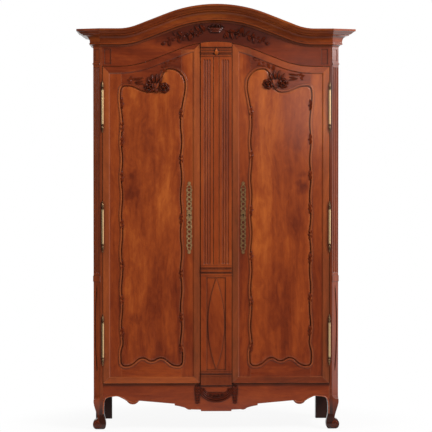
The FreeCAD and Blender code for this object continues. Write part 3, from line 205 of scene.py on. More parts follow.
def cherryWood(name, along="z", seed=0.0, shade=0.0, figure=1.0, shadeAndDirt=1.0, knots=(), clouds=(),
               soft=cherry["soft"], coat=0.3, gloss=0.35, rough=cherry["roughness"], border=None,
               lift=0.0, beadHighlight=0.14, wearAndSheen=0.13, heightShading=0.0, shadeAndToneBands=(), dull=None, plates=()):
    material, tree, output = freshMaterial(name)
    spot = place(tree)

    def figured(base, kind):
        long, wide, own, detail, roughness, twist = grainForm[kind]
        scale = tuple(long if axis == along else wide for axis in "xyz")
        return base.stretched(scale).noise(1.0, seed + own, detail, roughness, twist)

    wander = (figured(spot, "drift") - 0.5) * grainWeight["drift"]
    shift = spot.node("ShaderNodeCombineXYZ", None,
                      {axis.upper(): wander for axis in "xyz" if axis != along})
    board = spot.moved(shift)
    bands, flare, mottle = figured(board, "bands"), figured(board, "flare"), figured(board, "mottle")
    streaks, pores = figured(board, "streaks"), figured(spot, "pores")
    tone = (bands - 0.5) * (grainWeight["bands"] * figure) + (flare - 0.5) * (grainWeight["flare"] * figure)
    tone = tone + (mottle - 0.5) * (grainWeight["mottle"] * figure)
    tone = tone + (streaks - 0.5) * grainWeight["streaks"] + cherry["middle"] + shade
    cloud = smudge["lying"] if along == "x" else smudge["standing"]
    for shape, marks in ((smudge["knot"], knots), (cloud, clouds)):
        for x, z, reach, depth in marks:
            gap = spot.moved((-x, 0.0, -z)).stretched(shape).length()
            ragged = spot.noise(smudge["noise"] / reach, seed + x, 2.0) * smudge["ragged"] + smudge["least"]
            tone = tone - (1 - (gap * ragged).step(0.0, reach * smudge["fringe"])) * depth
    # painted light and shade: lighter higher up and darker lower down, as the lamps light the front from
    # above
    if heightShading:
        tone = tone + (spot.part("z") - cherry["heightShadingLevel"]) * heightShading
    if border:
        # the flat of the border has its own tone, and the bead at its edge gets a painted highlight
        deep = spot.part("y") - border
        raised = 1 - deep.step(*borderStep["flat"])
        tone = tone + raised * lift
        tone = tone + deep.between(borderStep["beadRise"], borderStep["beadFall"]) * beadHighlight
    stops = [(at, cherry[colourName]) for at, colourName in cherry["stops"]]
    colour = tone.node("ShaderNodeValToRGB", {"stops": stops}, {0: tone})
    fleck = pores.step(*cherry["fleck"]) * cherry["fleckDepth"]
    colour = fleck.blend(colour, cherry["dark"])
    # the raised flat is paled towards the worn colour: partly wear, partly a painted sheen of the polish
    if border:
        colour = (raised * wearAndSheen).blend(colour, cherry["wearAndSheen"])

    # edges in the open are rubbed to the pale wood
    nook, hollow = spot.openness(paintedShade["nookReach"]), spot.openness(paintedShade["hollowReach"])
    edge = spot.rounded(soft)
    flat = Sock(tree, tree.nodes.new("ShaderNodeNewGeometry").outputs["Normal"])
    lean = edge.agreement(flat)
    rub = (1 - lean.step(*rubbed["lean"])) * nook.step(*rubbed["open"]) * rubbed["amount"]
    colour = rub.blend(colour, cherry["wearAndSheen"])

    # painted shade with a little old wax: corners, hollows, undersides, the foot of the border step, the
    # holes of the key plates and the listed bands are darkened
    stain = spot.noise(paintedShade["stain"], seed + paintedShade["stainSeed"], 3.0)
    stain = stain * paintedShade["stainDepth"] + paintedShade["stainLeast"]
    shadeAndWax = (1 - nook.step(*paintedShade["nook"])) * paintedShade["nookShade"]
    shadeAndWax = shadeAndWax + (1 - hollow.step(*paintedShade["hollow"])) * paintedShade["hollowShade"]
    if border:
        # painted shade at the foot of the border's step
        shadeAndWax = shadeAndWax + deep.between(borderStep["footRise"], borderStep["footFall"]) * borderStep["footShade"]
    for plateName in plates:
        # painted shade in the holes of a pierced plate, with polish caught under it
        low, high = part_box(plateName)
        middle, half = (low + high) / 2, (high - low) / 2
        under = 1.0
        for axis in "xz":
            off = (spot.part(axis) - getattr(middle, axis)).away()
            inner, outer = (share * getattr(half, axis) for share in paintedShade["plateEdge"])
            under = (1 - off.step(inner, outer)) * under
        shadeAndWax = shadeAndWax + under * paintedShade["plateShadeAndWax"]
    # painted shade in bands along an axis, with a painted lighter band where the amount is negative; a few
    # only darken the tone
    for axis, clean, black, amount in shadeAndToneBands:
        shadeAndWax = shadeAndWax + spot.part(axis).step(clean, black) * amount
    # painted shade on faces that turn downward
    shadeAndWax = shadeAndWax + edge.part("z").step(*paintedShade["under"]) * paintedShade["underShade"]
    shadeAndWax = shadeAndWax * stain * shadeAndDirt
    colour = shadeAndWax.capped(paintedShade["most"]).blend(colour, cherry["shadeAndGrime"])

    wavy = spot.node("ShaderNodeBump", None, {"Strength": 0.5, "Distance": 0.012,
                                              "Height": figured(spot, "ripple"), "Normal": edge})
    bump = spot.node("ShaderNodeBump", None, {"Strength": 0.1, "Distance": 0.0004,
                                              "Height": streaks * 0.5 + pores * 0.25, "Normal": wavy})
    roughness = (streaks - 0.5) * cherry["streakRoughness"] + (1 - nook) * cherry["nookRoughness"] + rough
    if dull:
        coat = spot.part("z").step(*dull) * coat      # the polish has gone from the legs
    shader = spot.node("ShaderNodeBsdfPrincipled", None, {
        "Base Color": colour, "Roughness": roughness, "Specular IOR Level": gloss,
        "Coat Weight": coat, "Coat Roughness": cherry["coatRoughness"], "Normal": bump})
    tree.links.new(shader.link, output.inputs["Surface"])
    return material


metal = {
    "brass": linear(240, 204, 150), "brassDark": linear(74, 44, 20), "brassRoughness": 0.3,
    "plate": linear(222, 176, 122), "shadedPlate": linear(176, 134, 90), "plateDark": linear(60, 36, 18),
    "plateRoughness": 0.36, "plateNook": 0.0015, "plateBlotch": 0.6,
    "iron": linear(70, 66, 62), "ironDark": linear(28, 24, 22), "ironRoughness": 0.45,
    "blotch": (0.42, 0.68), "nook": (0.35, 0.95), "nookTarnish": 0.8,
    "hinges": (0.492, 1.115, 1.77), "barrel": (0.09, 0.096), "endTarnish": 0.8,
    "blotchRoughness": 0.2, "nookRoughness": 0.25,
}


def agedMetal(name, colour, dark, roughness, nookSize=0.006, blotch=0.22, barrels=()):
    material, tree, output = freshMaterial(name)
    spot = place(tree)
    stain = spot.noise(150.0, 2.0, 4.0, 0.6).step(*metal["blotch"])
    nook = spot.openness(nookSize)
    tarnish = (1 - nook.step(*metal["nook"])) * metal["nookTarnish"] + stain * blotch
    if barrels:
        # the turned ends beyond each barrel have gone brown
        height = spot.part("z")
        past = 1.0
        for level in barrels:
            past = (height - level).away().step(*metal["barrel"]) * past
        tarnish = tarnish + past * metal["endTarnish"]
    shade = tarnish.capped(1.0).blend(colour, dark)
    scratch = spot.stretched((1.0, 1.0, 0.2)).noise(900.0, 4.0, 2.0)
    bump = spot.node("ShaderNodeBump", None, {"Strength": 0.15, "Distance": 0.0003, "Height": scratch,
                                              "Normal": spot.rounded(0.0008)})
    mixed = stain * metal["blotchRoughness"] + (1 - nook) * metal["nookRoughness"] + roughness
    shader = spot.node("ShaderNodeBsdfPrincipled", None, {
        "Base Color": shade, "Metallic": 0.8, "Roughness": mixed, "Normal": bump})
    tree.links.new(shader.link, output.inputs["Surface"])
    return material


def dress(item, material):
    item.data.materials.clear()
    item.data.materials.append(material)


# which way the grain runs, by the first name that fits; elsewhere it stands upright
grainWays = {
    "side_top_rail": "y", "side_middle_rail": "y", "side_bottom_rail": "y",
    "cornice_left_side": "y", "cornice_right_side": "y", "cleats": "y",
    "floor_boards": "x", "ceiling": "x", "shelf_": "x", "_rail": "x", "cornice": "x",
}
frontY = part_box("front_top_rail")[0].y
doorWood = {"figure": 0.8, "border": frontY, "lift": -0.03, "heightShading": 0.24, "shadeAndDirt": 0.4}
# how each board differs, by the first name that fits
# shade and tone bands: axis, where it starts, where it is full, how much; they paint shade under the doors,
# beside the hinges, round mouldings and under the cabinet, darken the cornice, the post plinth and the feet,
# and paint a lighter band where the amount is negative; knots and clouds: x, z, reach, how much darker
tints = {
    "cornice_right_corner": {"shade": 0.06, "figure": 0.6, "coat": 0.9},
    "cornice_right_side": {"shade": 0.06, "figure": 0.6, "coat": 0.9},
    "cornice": {
        "shade": 0.16, "figure": 0.9, "coat": 0.06, "gloss": 0.22, "shadeAndDirt": 0.66,
        "shadeAndToneBands": (("y", -0.318, -0.323, 0.6), ("y", -0.268, -0.256, 0.42)),
        # the lighter cloud along the crown is a painted highlight
        "clouds": ((0.0, 2.29, 0.14, -0.26),)},
    "front_top_rail": {
        "shade": -0.22, "figure": 0.7, "coat": 0.18,
        "clouds": ((-0.15, 2.175, 0.11, 0.5), (0.15, 2.172, 0.11, 0.5), (0.0, 2.19, 0.08, 0.3))},
    "front_apron": {
        "shade": -0.08, "figure": 0.6, "coat": 0.14, "shadeAndDirt": 1.1, "soft": 0.006,
        "shadeAndToneBands": (("z", 0.23, 0.246, 0.75),)},
    "centre_post": {
        "shade": 0.04, "figure": 0.6, "heightShading": 0.06,
        "shadeAndToneBands": (("z", 0.34, 0.3, 0.42), ("z", 2.04, 2.055, 0.3), ("z", 2.098, 2.108, -0.3),
                 ("z", 0.85, 0.862, 0.25), ("z", 0.89, 0.9, -0.25))},
    # the left post's lighter shade is partly its tone and partly a painted pinkish reflection
    "left_front_post": {
        "shade": 0.1, "figure": 0.5, "coat": 0.7, "dull": (0.16, 0.26),
        "shadeAndToneBands": (("z", 0.23, 0.05, 0.85), ("x", -0.645, -0.638, 0.3))},
    "right_front_post": {
        "shade": -0.1, "figure": 0.5, "coat": 0.55, "dull": (0.16, 0.26),
        "shadeAndToneBands": (("z", 0.23, 0.05, 0.85), ("x", 0.645, 0.638, 0.35))},
    "left_door_lock_stile": dict(
        doorWood, shade=0.12, lift=-0.1, plates=("left_door_escutcheon",),
        clouds=((-0.215, 2.06, 0.12, 0.46), (-0.2, 0.37, 0.09, -0.18))),
    "right_door_lock_stile": dict(
        doorWood, shade=-0.02, lift=-0.1, plates=("right_door_escutcheon",),
        clouds=((0.215, 2.06, 0.12, 0.46),)),
    "stile": dict(doorWood, shade=0.03, clouds=((-0.5, 1.97, 0.08, 0.24), (0.5, 1.97, 0.08, 0.2))),
    "left_door_bottom_rail": dict(doorWood, shade=0.2, lift=0.0),
    "door_bottom_rail": dict(doorWood, shade=-0.04, lift=-0.04, wearAndSheen=0.04),
    "left_door_top_rail": dict(
        doorWood, shade=-0.2, lift=0.0, wearAndSheen=0.0, beadHighlight=0.05, heightShading=0.0,
        clouds=((-0.215, 1.99, 0.1, 0.12),)),
    "door_top_rail": dict(
        doorWood, shade=-0.12, lift=0.1, wearAndSheen=0.04, beadHighlight=0.05, heightShading=0.0,
        clouds=((0.215, 2.0, 0.1, 0.2),)),
    "left_door_panel": {
        "shade": 0.07, "figure": 1.1, "soft": 0.016, "heightShading": 0.3, "shadeAndDirt": 0.1,
        "knots": ((-0.468, 1.393, 0.02, 0.26), (-0.474, 1.296, 0.032, 0.32), (-0.45, 0.61, 0.03, 0.25)),
        "clouds": ((-0.475, 1.1, 0.09, -0.2), (-0.255, 1.24, 0.1, -0.16), (-0.33, 1.73, 0.14, 0.1),
                   (-0.42, 1.16, 0.07, 0.16), (-0.3, 0.75, 0.14, 0.14))},
    "right_door_panel": {
        "shade": 0.1, "figure": 1.0, "soft": 0.016, "heightShading": 0.25, "shadeAndDirt": 0.1,
        "knots": ((0.478, 1.4, 0.02, 0.3), (0.482, 1.334, 0.034, 0.36), (0.443, 1.136, 0.034, 0.12)),
        "clouds": ((0.223, 1.43, 0.11, -0.2), (0.2, 1.15, 0.11, -0.2), (0.333, 1.44, 0.1, 0.18),
                   (0.44, 1.15, 0.08, 0.12), (0.3, 0.75, 0.13, 0.12))},
    "back": {"shade": -0.1, "shadeAndDirt": 1.2},
    "boards": {"shade": -0.05},
    "rear_post": {
        "shade": -0.34, "figure": 0.6, "coat": 0.0, "gloss": 0.2, "shadeAndToneBands": (("z", 0.34, 0.2, 1.2),)},
    "frame_pegs": {"shade": -0.2},
}
brass = agedMetal("oldBrass", metal["brass"], metal["brassDark"], metal["brassRoughness"],
                  barrels=metal["hinges"])
plate = agedMetal("keyPlateBrass", metal["plate"], metal["plateDark"], metal["plateRoughness"],
                  metal["plateNook"], metal["plateBlotch"])
# painted shade: the right key plate gets this darker copy of the brass, while the left one catches the light
shadedPlate = agedMetal("shadedKeyPlateBrass", metal["shadedPlate"], metal["plateDark"], metal["plateRoughness"],
                      metal["plateNook"], metal["plateBlotch"])
iron = agedMetal("lockIron", metal["iron"], metal["ironDark"], metal["ironRoughness"])
seedStep = 5.3      # keeps the figure of neighbouring boards apart
for number, name in enumerate(sorted(nodes)):
    if "escutcheon" in name:
        dress(nodes[name], plate if "left" in name else shadedPlate)
    elif "hinge_halves" in name:
        dress(nodes[name], brass)
    elif "lock_case" in name or "lock_bolt" in name or "lock_keeps" in name:
        dress(nodes[name], iron)
    else:
        way = next((axis for part, axis in grainWays.items() if part in name), "z")
        tint = next((values for part, values in tints.items() if part in name), {})
        dress(nodes[name], cherryWood(name + "Wood", way, seed=number * seedStep, **tint))
carvedWood = cherryWood("carvedWood", "x", seed=2.2, shade=-0.34, figure=0.4, shadeAndDirt=1.2, soft=0.001,
                        coat=0.02, gloss=0.12)
# a darker wood for the frieze and swag carving
darkCarvingWood = cherryWood("darkCarvingWood", "x", seed=2.2, shade=-0.6, figure=0.4, shadeAndDirt=1.4, soft=0.0006,
                        coat=0.02, gloss=0.1)
basketWood = cherryWood("basketWood", "x", seed=6.2, shade=-0.4, figure=0.3, shadeAndDirt=0.9, soft=0.0008, coat=0.5)
print("wood and metal dressed")


def only(*items):
    bpy.ops.object.select_all(action="DESELECT")
    for item in items:
        item.select_set(True)
    bpy.context.view_layer.objects.active = items[0]


def pick(item, test):
    # leaves edit mode on with just the vertices that pass the test selected
    bpy.ops.object.mode_set(mode="OBJECT")
    for group in (item.data.polygons, item.data.edges, item.data.vertices):
        group.foreach_set("select", [False] * len(group))
    for vertex in item.data.vertices:
        vertex.select = test(vertex.co)
    bpy.ops.object.mode_set(mode="EDIT")


def cutOff(item, point, outward):
    # what lies beyond the plane goes, and the cut is closed
    pick(item, lambda spot: True)
    bpy.ops.mesh.bisect(plane_co=point, plane_no=outward, clear_outer=True, use_fill=True)


def squeeze(item, shares):
    pick(item, lambda spot: True)
    bpy.ops.transform.resize(value=shares, center_override=(0.0, 0.0, 0.0))


def settle():
    # the place, turn and scale of what is selected go into its mesh
    bpy.ops.object.transform_apply(location=True, rotation=True, scale=True)


def applyModifiers(item):
    only(item)
    for modifier in list(item.modifiers):
        bpy.ops.object.modifier_apply(modifier=modifier.name)


# carved ornament is drawn flat, x to the right, y up, z outwards, then stood against the front;
# leaf and petal are one unit long, the leaf's widths and rises go from stalk to tip
leafForm = {"half": 0.23, "bladeHalf": 0.11, "widths": (0.16, 0.62, 0.94, 1.0, 0.82, 0.48, 0.06),
            "rise": (0.0, 0.10, 0.17, 0.19, 0.16, 0.08, -0.02), "near": 0.02,
            "vein": -0.08, "veinHalf": 0.003, "veinRun": (0.05, 0.95), "thick": 0.1}
petalForm = {"size": (0.44, 0.5, 0.17), "scoop": -0.11, "scoopAbove": 0.05, "scoopEnd": 0.2,
             "lip": 0.05, "lipStart": 0.3}


def carveLeaf(name, half):
    bpy.ops.object.select_all(action="DESELECT")
    bpy.ops.mesh.primitive_grid_add(x_subdivisions=6, y_subdivisions=4, size=1.0, location=(0.5, 0.0, 0.0))
    leaf = bpy.context.object
    leaf.name = name
    bpy.ops.object.transform_apply(location=True)
    last = len(leafForm["widths"]) - 1
    for number, (wide, rise) in enumerate(zip(leafForm["widths"], leafForm["rise"])):
        x = number / last
        pick(leaf, lambda spot: abs(spot.x - x) < leafForm["near"])
        bpy.ops.transform.resize(value=(1.0, wide * half * 2, 1.0), center_override=(x, 0.0, 0.0))
        bpy.ops.transform.translate(value=(0.0, 0.0, rise))
    start, end = leafForm["veinRun"]
    pick(leaf, lambda spot: abs(spot.y) < leafForm["veinHalf"] and start < spot.x < end)
    bpy.ops.transform.translate(value=(0.0, 0.0, leafForm["vein"]))
    bpy.ops.object.mode_set(mode="OBJECT")
    thick = leaf.modifiers.new("thick", "SOLIDIFY")
    thick.thickness, thick.offset = leafForm["thick"], -1.0
    smooth = leaf.modifiers.new("smooth", "SUBSURF")
    smooth.levels = smooth.render_levels = 1
    applyModifiers(leaf)
    return leaf


def carvePetal():
    bpy.ops.object.select_all(action="DESELECT")
    bpy.ops.mesh.primitive_uv_sphere_add(segments=14, ring_count=8, radius=1.0)
    petal = bpy.context.object
    petal.name = "petal"
    squeeze(petal, petalForm["size"])
    # scooped towards the heart, with a rolled lip
    pick(petal, lambda spot: spot.z > petalForm["scoopAbove"] and spot.x < petalForm["scoopEnd"])
    bpy.ops.transform.translate(value=(0.0, 0.0, petalForm["scoop"]))
    pick(petal, lambda spot: spot.x > petalForm["lipStart"])
    bpy.ops.transform.translate(value=(0.0, 0.0, petalForm["lip"]))
    bpy.ops.object.mode_set(mode="OBJECT")
    return petal


def spread(master, x, y, angle=0.0, size=1.0, out=0.0, tilt=0.0, wide=1.0, relief=1.0):
    item = master.copy()
    item.data = master.data.copy()
    bpy.context.collection.objects.link(item)
    item.location = (x, y, out)
    item.rotation_euler = (0.0, -math.radians(tilt), math.radians(angle))
    item.scale = (size, size * wide, size * relief)
    return item


def gather(name, items, depth, body, material):
    # joins the copies, stands them against the front at this depth and lets them ride
    only(*items)
    settle()
    bpy.ops.object.join()
    piece = bpy.context.object
    piece.name = piece.data.name = name
    piece.rotation_euler = (math.radians(90), 0.0, 0.0)
    piece.location = (0.0, depth, 0.0)
    settle()
    bpy.ops.object.mode_set(mode="EDIT")
    bpy.ops.mesh.select_all(action="SELECT")
    bpy.ops.mesh.remove_doubles(threshold=0.00002)
    bpy.ops.mesh.normals_make_consistent(inside=False)
    bpy.ops.object.mode_set(mode="OBJECT")
    bpy.ops.object.shade_smooth_by_angle(angle=math.radians(50))
    dress(piece, material)
    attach(piece, body)


def stem(points, radius, out):
    # a rounded stalk along the points, which may have a depth of their own
    bpy.ops.object.select_all(action="DESELECT")
    bpy.ops.curve.primitive_nurbs_path_add()
    path = bpy.context.object
    line = path.data.splines[0]
    line.points.add(max(0, len(points) - len(line.points)))
    for knot, (x, y, *deep) in zip(line.points, points):
        knot.co = (x, y, out + sum(deep), 1.0)
    line.order_u = 3
    line.use_endpoint_u = True
    path.data.bevel_depth = radius
    path.data.bevel_resolution = 2
    path.data.use_fill_caps = True
    bpy.ops.object.convert(target="MESH")
    return bpy.context.object


def pointAlong(points, share):
    # place and direction at a share of a line of points
    run = share * (len(points) - 1)
    index = min(int(run), len(points) - 2)
    (x0, y0), (x1, y1) = points[index], points[index + 1]
    rest = run - index
    return x0 + (x1 - x0) * rest, y0 + (y1 - y0) * rest, math.degrees(math.atan2(y1 - y0, x1 - x0))


# no two leaves of a spray are alike: size, angle and width wander along the stalk
sprayForm = {"tilt": 8, "angleSway": 22, "sway": 2.4, "first": 1.1, "taper": 0.4, "sizeSway": 0.28,
             "widthSway": 0.35, "widthBeat": 1.7, "tip": 0.8}
# rings of petals: how many, how far from the heart, how high, tilt and size
roseForm = {"rings": ((7, 0.66, 0.10, -16, 0.8), (5, 0.4, 0.26, 14, 0.72), (3, 0.19, 0.38, 38, 0.6)),
            "bed": 1.5, "heart": 0.42, "heartHigh": 0.5, "stagger": 90}


def spray(points, leaf, count, size, radius, splay, relief):
    items = [stem(points, radius, 0.0)]
    for number in range(count):
        share = (number + 0.5) / count
        x, y, way = pointAlong(points, share)
        side = 1 if number % 2 else -1
        sway = math.sin(number * sprayForm["sway"] + count)
        angle = way + side * (splay + sprayForm["angleSway"] * sway)
        length = size * (sprayForm["first"] - sprayForm["taper"] * share + sprayForm["sizeSway"] * sway)
        wide = 1.0 + sprayForm["widthSway"] * math.sin(number * sprayForm["widthBeat"])
        items.append(spread(leaf, x, y, angle, length, tilt=sprayForm["tilt"], wide=wide, relief=relief))
    x, y, way = pointAlong(points, 1.0)
    items.append(spread(leaf, x, y, way, size * sprayForm["tip"], tilt=sprayForm["tilt"]))
    return items


def rose(petal, x, y, radius, out, turn=0.0):
    items = [spread(petal, x, y, size=radius * roseForm["bed"], out=out)]
    for count, far, high, tilt, size in roseForm["rings"]:
        for number in range(count):
            angle = turn + number * 360 / count + far * roseForm["stagger"]
            across, up = math.cos(math.radians(angle)), math.sin(math.radians(angle))
            items.append(spread(petal, x + across * far * radius, y + up * far * radius, angle,
                                radius * size, out + high * radius, tilt))
    items.append(spread(petal, x, y, turn, radius * roseForm["heart"], out + roseForm["heartHigh"] * radius))
    return items


leaf = carveLeaf("leaf", leafForm["half"])
blade = carveLeaf("blade", leafForm["bladeHalf"])
petal = carvePetal()

# door flowers: two roses among blades, strokes to a bud on the hinge side and a spray towards the lock;
# the left door has the mirror image, with its bunch hung lower
flowers = {
    "depth": 0.0075, "leftDrop": 0.022, "radius": 0.031,
    "roses": ((0.284, 1.896, 0.001, 20), (0.366, 1.9, 0.002, 50)),      # x, z, how far out, turn
    # x, z, angle, length
    "blades": ((0.312, 1.914, 112, 0.05), (0.326, 1.918, 96, 0.058), (0.34, 1.918, 80, 0.056),
               (0.352, 1.916, 60, 0.046), (0.325, 1.9, 262, 0.036), (0.326, 1.9, 285, 0.034)),
    "strokes": ((0.392, 1.952, 350, 0.07), (0.394, 1.934, 352, 0.055), (0.39, 1.915, 8, 0.06)),
    "bud": (0.462, 1.938), "budLeaf": 0.026, "budAngles": (-60, 10, 80, 150),
    "spray": ((0.312, 1.962), (0.295, 1.985), (0.272, 2.002), (0.245, 2.016), (0.222, 2.028)),
    "sprayLeaves": 8, "sprayLeaf": 0.03, "stalk": 0.0018, "splay": 34.0, "sprayRelief": 0.55,
}
# small leaf cusps along the shaped sides of the panels, at uneven heights; leaves: angle, length, width, tilt
cusps = {
    "lock": 0.1835, "hinge": 0.5245, "out": 0.005, "relief": 0.55,
    "leaves": ((6, 0.025, 1.3, -14), (66, 0.034, 0.9, -8), (-70, 0.038, 0.9, -8)),
    "right_door": {"lock": (1.745, 1.506, 1.205, 0.951, 0.7, 0.46),
                   "hinge": (1.779, 1.593, 1.396, 1.214, 1.072, 0.94, 0.72, 0.541)},
    "left_door": {"lock": (1.734, 1.4875, 1.16, 0.86, 0.62, 0.45),
                  "hinge": (1.79, 1.663, 1.58, 1.389, 1.123, 0.9, 0.71, 0.53)},
}
for turn, door in ((1, "right_door"), (-1, "left_door")):
    def flip(angle):
        return angle if turn > 0 else 180 - angle

    items = []
    for x, y, out, twist in flowers["roses"]:
        items += rose(petal, turn * x, y, flowers["radius"], out, twist)
    for x, y, angle, size in flowers["blades"]:
        items.append(spread(blade, turn * x, y, flip(angle), size, out=0.002, tilt=8, wide=1.3))
    for x, y, angle, size in flowers["strokes"]:
        items.append(spread(blade, turn * x, y, flip(angle), size, out=0.0005, tilt=2, wide=0.7, relief=0.6))
    x, y = flowers["bud"]
    for angle in flowers["budAngles"]:
        items.append(spread(leaf, turn * x, y, flip(angle), flowers["budLeaf"], out=0.0005, tilt=8, wide=1.1,
                            relief=0.7))
    for item in items:
        item.location.y -= flowers["leftDrop"] if turn < 0 else 0.0
    items += spray([(turn * x, y) for x, y in flowers["spray"]], leaf, flowers["sprayLeaves"],
                   flowers["sprayLeaf"], flowers["stalk"], flowers["splay"], flowers["sprayRelief"])
    for side, way in (("lock", 0), ("hinge", 180)):
        for height in cusps[door][side]:
            for angle, size, wide, tilt in cusps["leaves"]:
                items.append(spread(leaf, turn * cusps[side], height, flip(way + angle), size, cusps["out"],
                                    tilt, wide, cusps["relief"]))
    gather(door + "_flowers", items, frontY + flowers["depth"], door, carvedWood)
print("door flowers carved")

# top rail: basket of flowers with a leafy spray along the arch on either side
basket = {
    "x": -0.004, "top": 2.199, "low": 2.18, "half": 0.043, "foot": 0.62, "swell": 0.016, "back": -0.004,
    "hoops": (1.06, 0.88, 0.7), "rod": 0.0026, "hoopBack": -0.002, "sunk": 0.0008,
    # x and height from the middle of the rim, size, turn
    "roses": ((-0.034, 0.007, 0.01, -68), (-0.016, 0.012, 0.013, -32), (0.006, 0.013, 0.013, 12),
              (0.026, 0.011, 0.012, 52), (0.04, 0.005, 0.009, 80)),
}
frieze = {
    "spray": ((0.05, 2.188), (0.105, 2.177), (0.165, 2.166), (0.22, 2.149), (0.272, 2.124)), "relief": 0.6,
    "leaves": 15, "leaf": 0.036, "stalk": 0.0024, "splay": 48.0,
    "lowLeaves": 8, "lowLeaf": 0.03, "lowStalk": 0.001, "lowSplay": 80.0, "lower": 0.006,
    # share of the way along, size, turn
    "roses": ((0.12, 0.012, 60), (0.3, 0.015, 150), (0.46, 0.013, 230), (0.64, 0.011, 320)),
    "roseLower": 0.004,
}
middle = (basket["top"] + basket["low"]) / 2
bulge = (1.0, 1.0, basket["swell"] / basket["half"])
bpy.ops.object.select_all(action="DESELECT")
bpy.ops.mesh.primitive_cylinder_add(vertices=28, radius=basket["half"], depth=basket["top"] - basket["low"],
                                    rotation=(math.radians(-90), 0.0, 0.0),
                                    location=(basket["x"], middle, 0.0))
wicker = bpy.context.object
settle()
pick(wicker, lambda spot: spot.y < middle)
bpy.ops.transform.resize(value=(basket["foot"], 1.0, basket["foot"]),
                         center_override=(basket["x"], basket["low"], 0.0))
cutOff(wicker, (0.0, 0.0, basket["back"]), (0.0, 0.0, -1.0))
squeeze(wicker, bulge)
bpy.ops.object.mode_set(mode="OBJECT")
items = [wicker]
for height, share in zip((basket["top"], middle, basket["low"]), basket["hoops"]):
    bpy.ops.object.select_all(action="DESELECT")
    bpy.ops.mesh.primitive_torus_add(major_radius=basket["half"] * share, minor_radius=basket["rod"],
                                     major_segments=36, minor_segments=8,
                                     rotation=(math.radians(90), 0.0, 0.0),
                                     location=(basket["x"], height, 0.0))
    hoop = bpy.context.object
    settle()
    cutOff(hoop, (0.0, 0.0, basket["hoopBack"]), (0.0, 0.0, -1.0))
    squeeze(hoop, bulge)
    bpy.ops.object.mode_set(mode="OBJECT")
    items.append(hoop)
gather("friezeBasket", items, frontY + basket["sunk"], "carcass", basketWood)
items = []
for x, y, size, twist in basket["roses"]:
    items += rose(petal, basket["x"] + x, basket["top"] + y, size, 0.001, twist)
for turn in (1, -1):
    points = [(basket["x"] + turn * x, y) for x, y in frieze["spray"]]
    items += spray(points, leaf, frieze["leaves"], frieze["leaf"], frieze["stalk"], frieze["splay"],
                   frieze["relief"])
    items += spray([(x, y - frieze["lower"]) for x, y in points], leaf, frieze["lowLeaves"],
                   frieze["lowLeaf"], frieze["lowStalk"], frieze["lowSplay"], frieze["relief"])
    for share, size, twist in frieze["roses"]:
        x, y, way = pointAlong(points, share)
        items += rose(petal, x, y - frieze["roseLower"], size, 0.0, twist)
gather("topRailCarving", items, frontY + basket["sunk"], "carcass", darkCarvingWood)
print("basket and sprays carved")

# apron: a drop of husks on either side and a swag of folds and flowers hung between them
husks = {"x": 0.103, "top": 0.243, "count": 6, "drop": 0.0165, "size": 0.03, "shrink": 0.0018,
         "leaves": ((-122, 1.0), (-58, 1.0), (-90, 1.25)), "rose": 0.012, "roseLower": 0.004}
swag = {
    "hang": 0.225, "out": 0.002, "sunk": 0.0008,
    # half width, sag, thickness
    "folds": ((0.092, 0.071, 0.0048), (0.084, 0.06, 0.0052), (0.076, 0.048, 0.0048), (0.067, 0.037, 0.004)),
    "moon": (0.09, 0.071, 0.007), "moonBack": -0.2, "moonTop": -0.34, "moonLift": 0.002,
    # x, z, size, turn
    "roses": ((0.011, 0.184, 0.013, 33), (-0.011, 0.182, 0.01222, 22),
              (0.033, 0.19, 0.011, 99), (-0.033, 0.188, 0.01034, 66)), "roseOut": 0.004,
}
items = []
for turn in (1, -1):
    x = turn * husks["x"]
    for number in range(husks["count"]):
        y = husks["top"] - number * husks["drop"]
        size = husks["size"] - number * husks["shrink"]
        for angle, wide in husks["leaves"]:
            items.append(spread(leaf, x, y, angle, size, out=0.0005, tilt=12, wide=wide))
    items += rose(petal, x, husks["top"] - husks["roseLower"], husks["rose"], 0.001)
for half, sag, rod in swag["folds"]:
    points = [(half * math.cos(math.radians(step)), swag["hang"] + sag * math.sin(math.radians(step)))
              for step in range(180, 361, 15)]
    items.append(stem(points, rod, swag["out"]))
bpy.ops.object.select_all(action="DESELECT")
bpy.ops.mesh.primitive_uv_sphere_add(segments=40, ring_count=20, radius=1.0)
moon = bpy.context.object
cutOff(moon, (0.0, 0.0, swag["moonBack"]), (0.0, 0.0, -1.0))
cutOff(moon, (0.0, swag["moonTop"], 0.0), (0.0, 1.0, 0.0))
squeeze(moon, swag["moon"])
bpy.ops.transform.translate(value=(0.0, swag["hang"] + swag["moonLift"], 0.0))
bpy.ops.object.mode_set(mode="OBJECT")
items.append(moon)
for x, y, size, twist in swag["roses"]:
    items += rose(petal, x, y, size, swag["roseOut"], twist)
gather("apronCarving", items, frontY + swag["sunk"], "carcass", darkCarvingWood)
print("apron swag carved")

# volutes on the feet
volute = {"x": 0.652, "z": 0.029, "radius": 0.022, "turns": 1.7, "tighten": 0.8, "rod": 0.0028, "eye": 0.004,
          "steps": 40, "sunk": 0.0005}
for turn, name in ((1, "rightVolute"), (-1, "leftVolute")):
    points = []
    for step in range(volute["steps"]):
        share = step / (volute["steps"] - 1)
        angle = -share * volute["turns"] * 2 * math.pi
        reach = volute["radius"] * (1 - volute["tighten"] * share)
        points.append((turn * (volute["x"] - reach * math.cos(angle)), volute["z"] + reach * math.sin(angle)))
    items = [stem(points, volute["rod"], 0.0)]
    items += rose(petal, turn * volute["x"], volute["z"], volute["eye"], 0.0)
    gather(name, items, frontY + volute["sunk"], "carcass", carvedWood)
print("volutes carved")

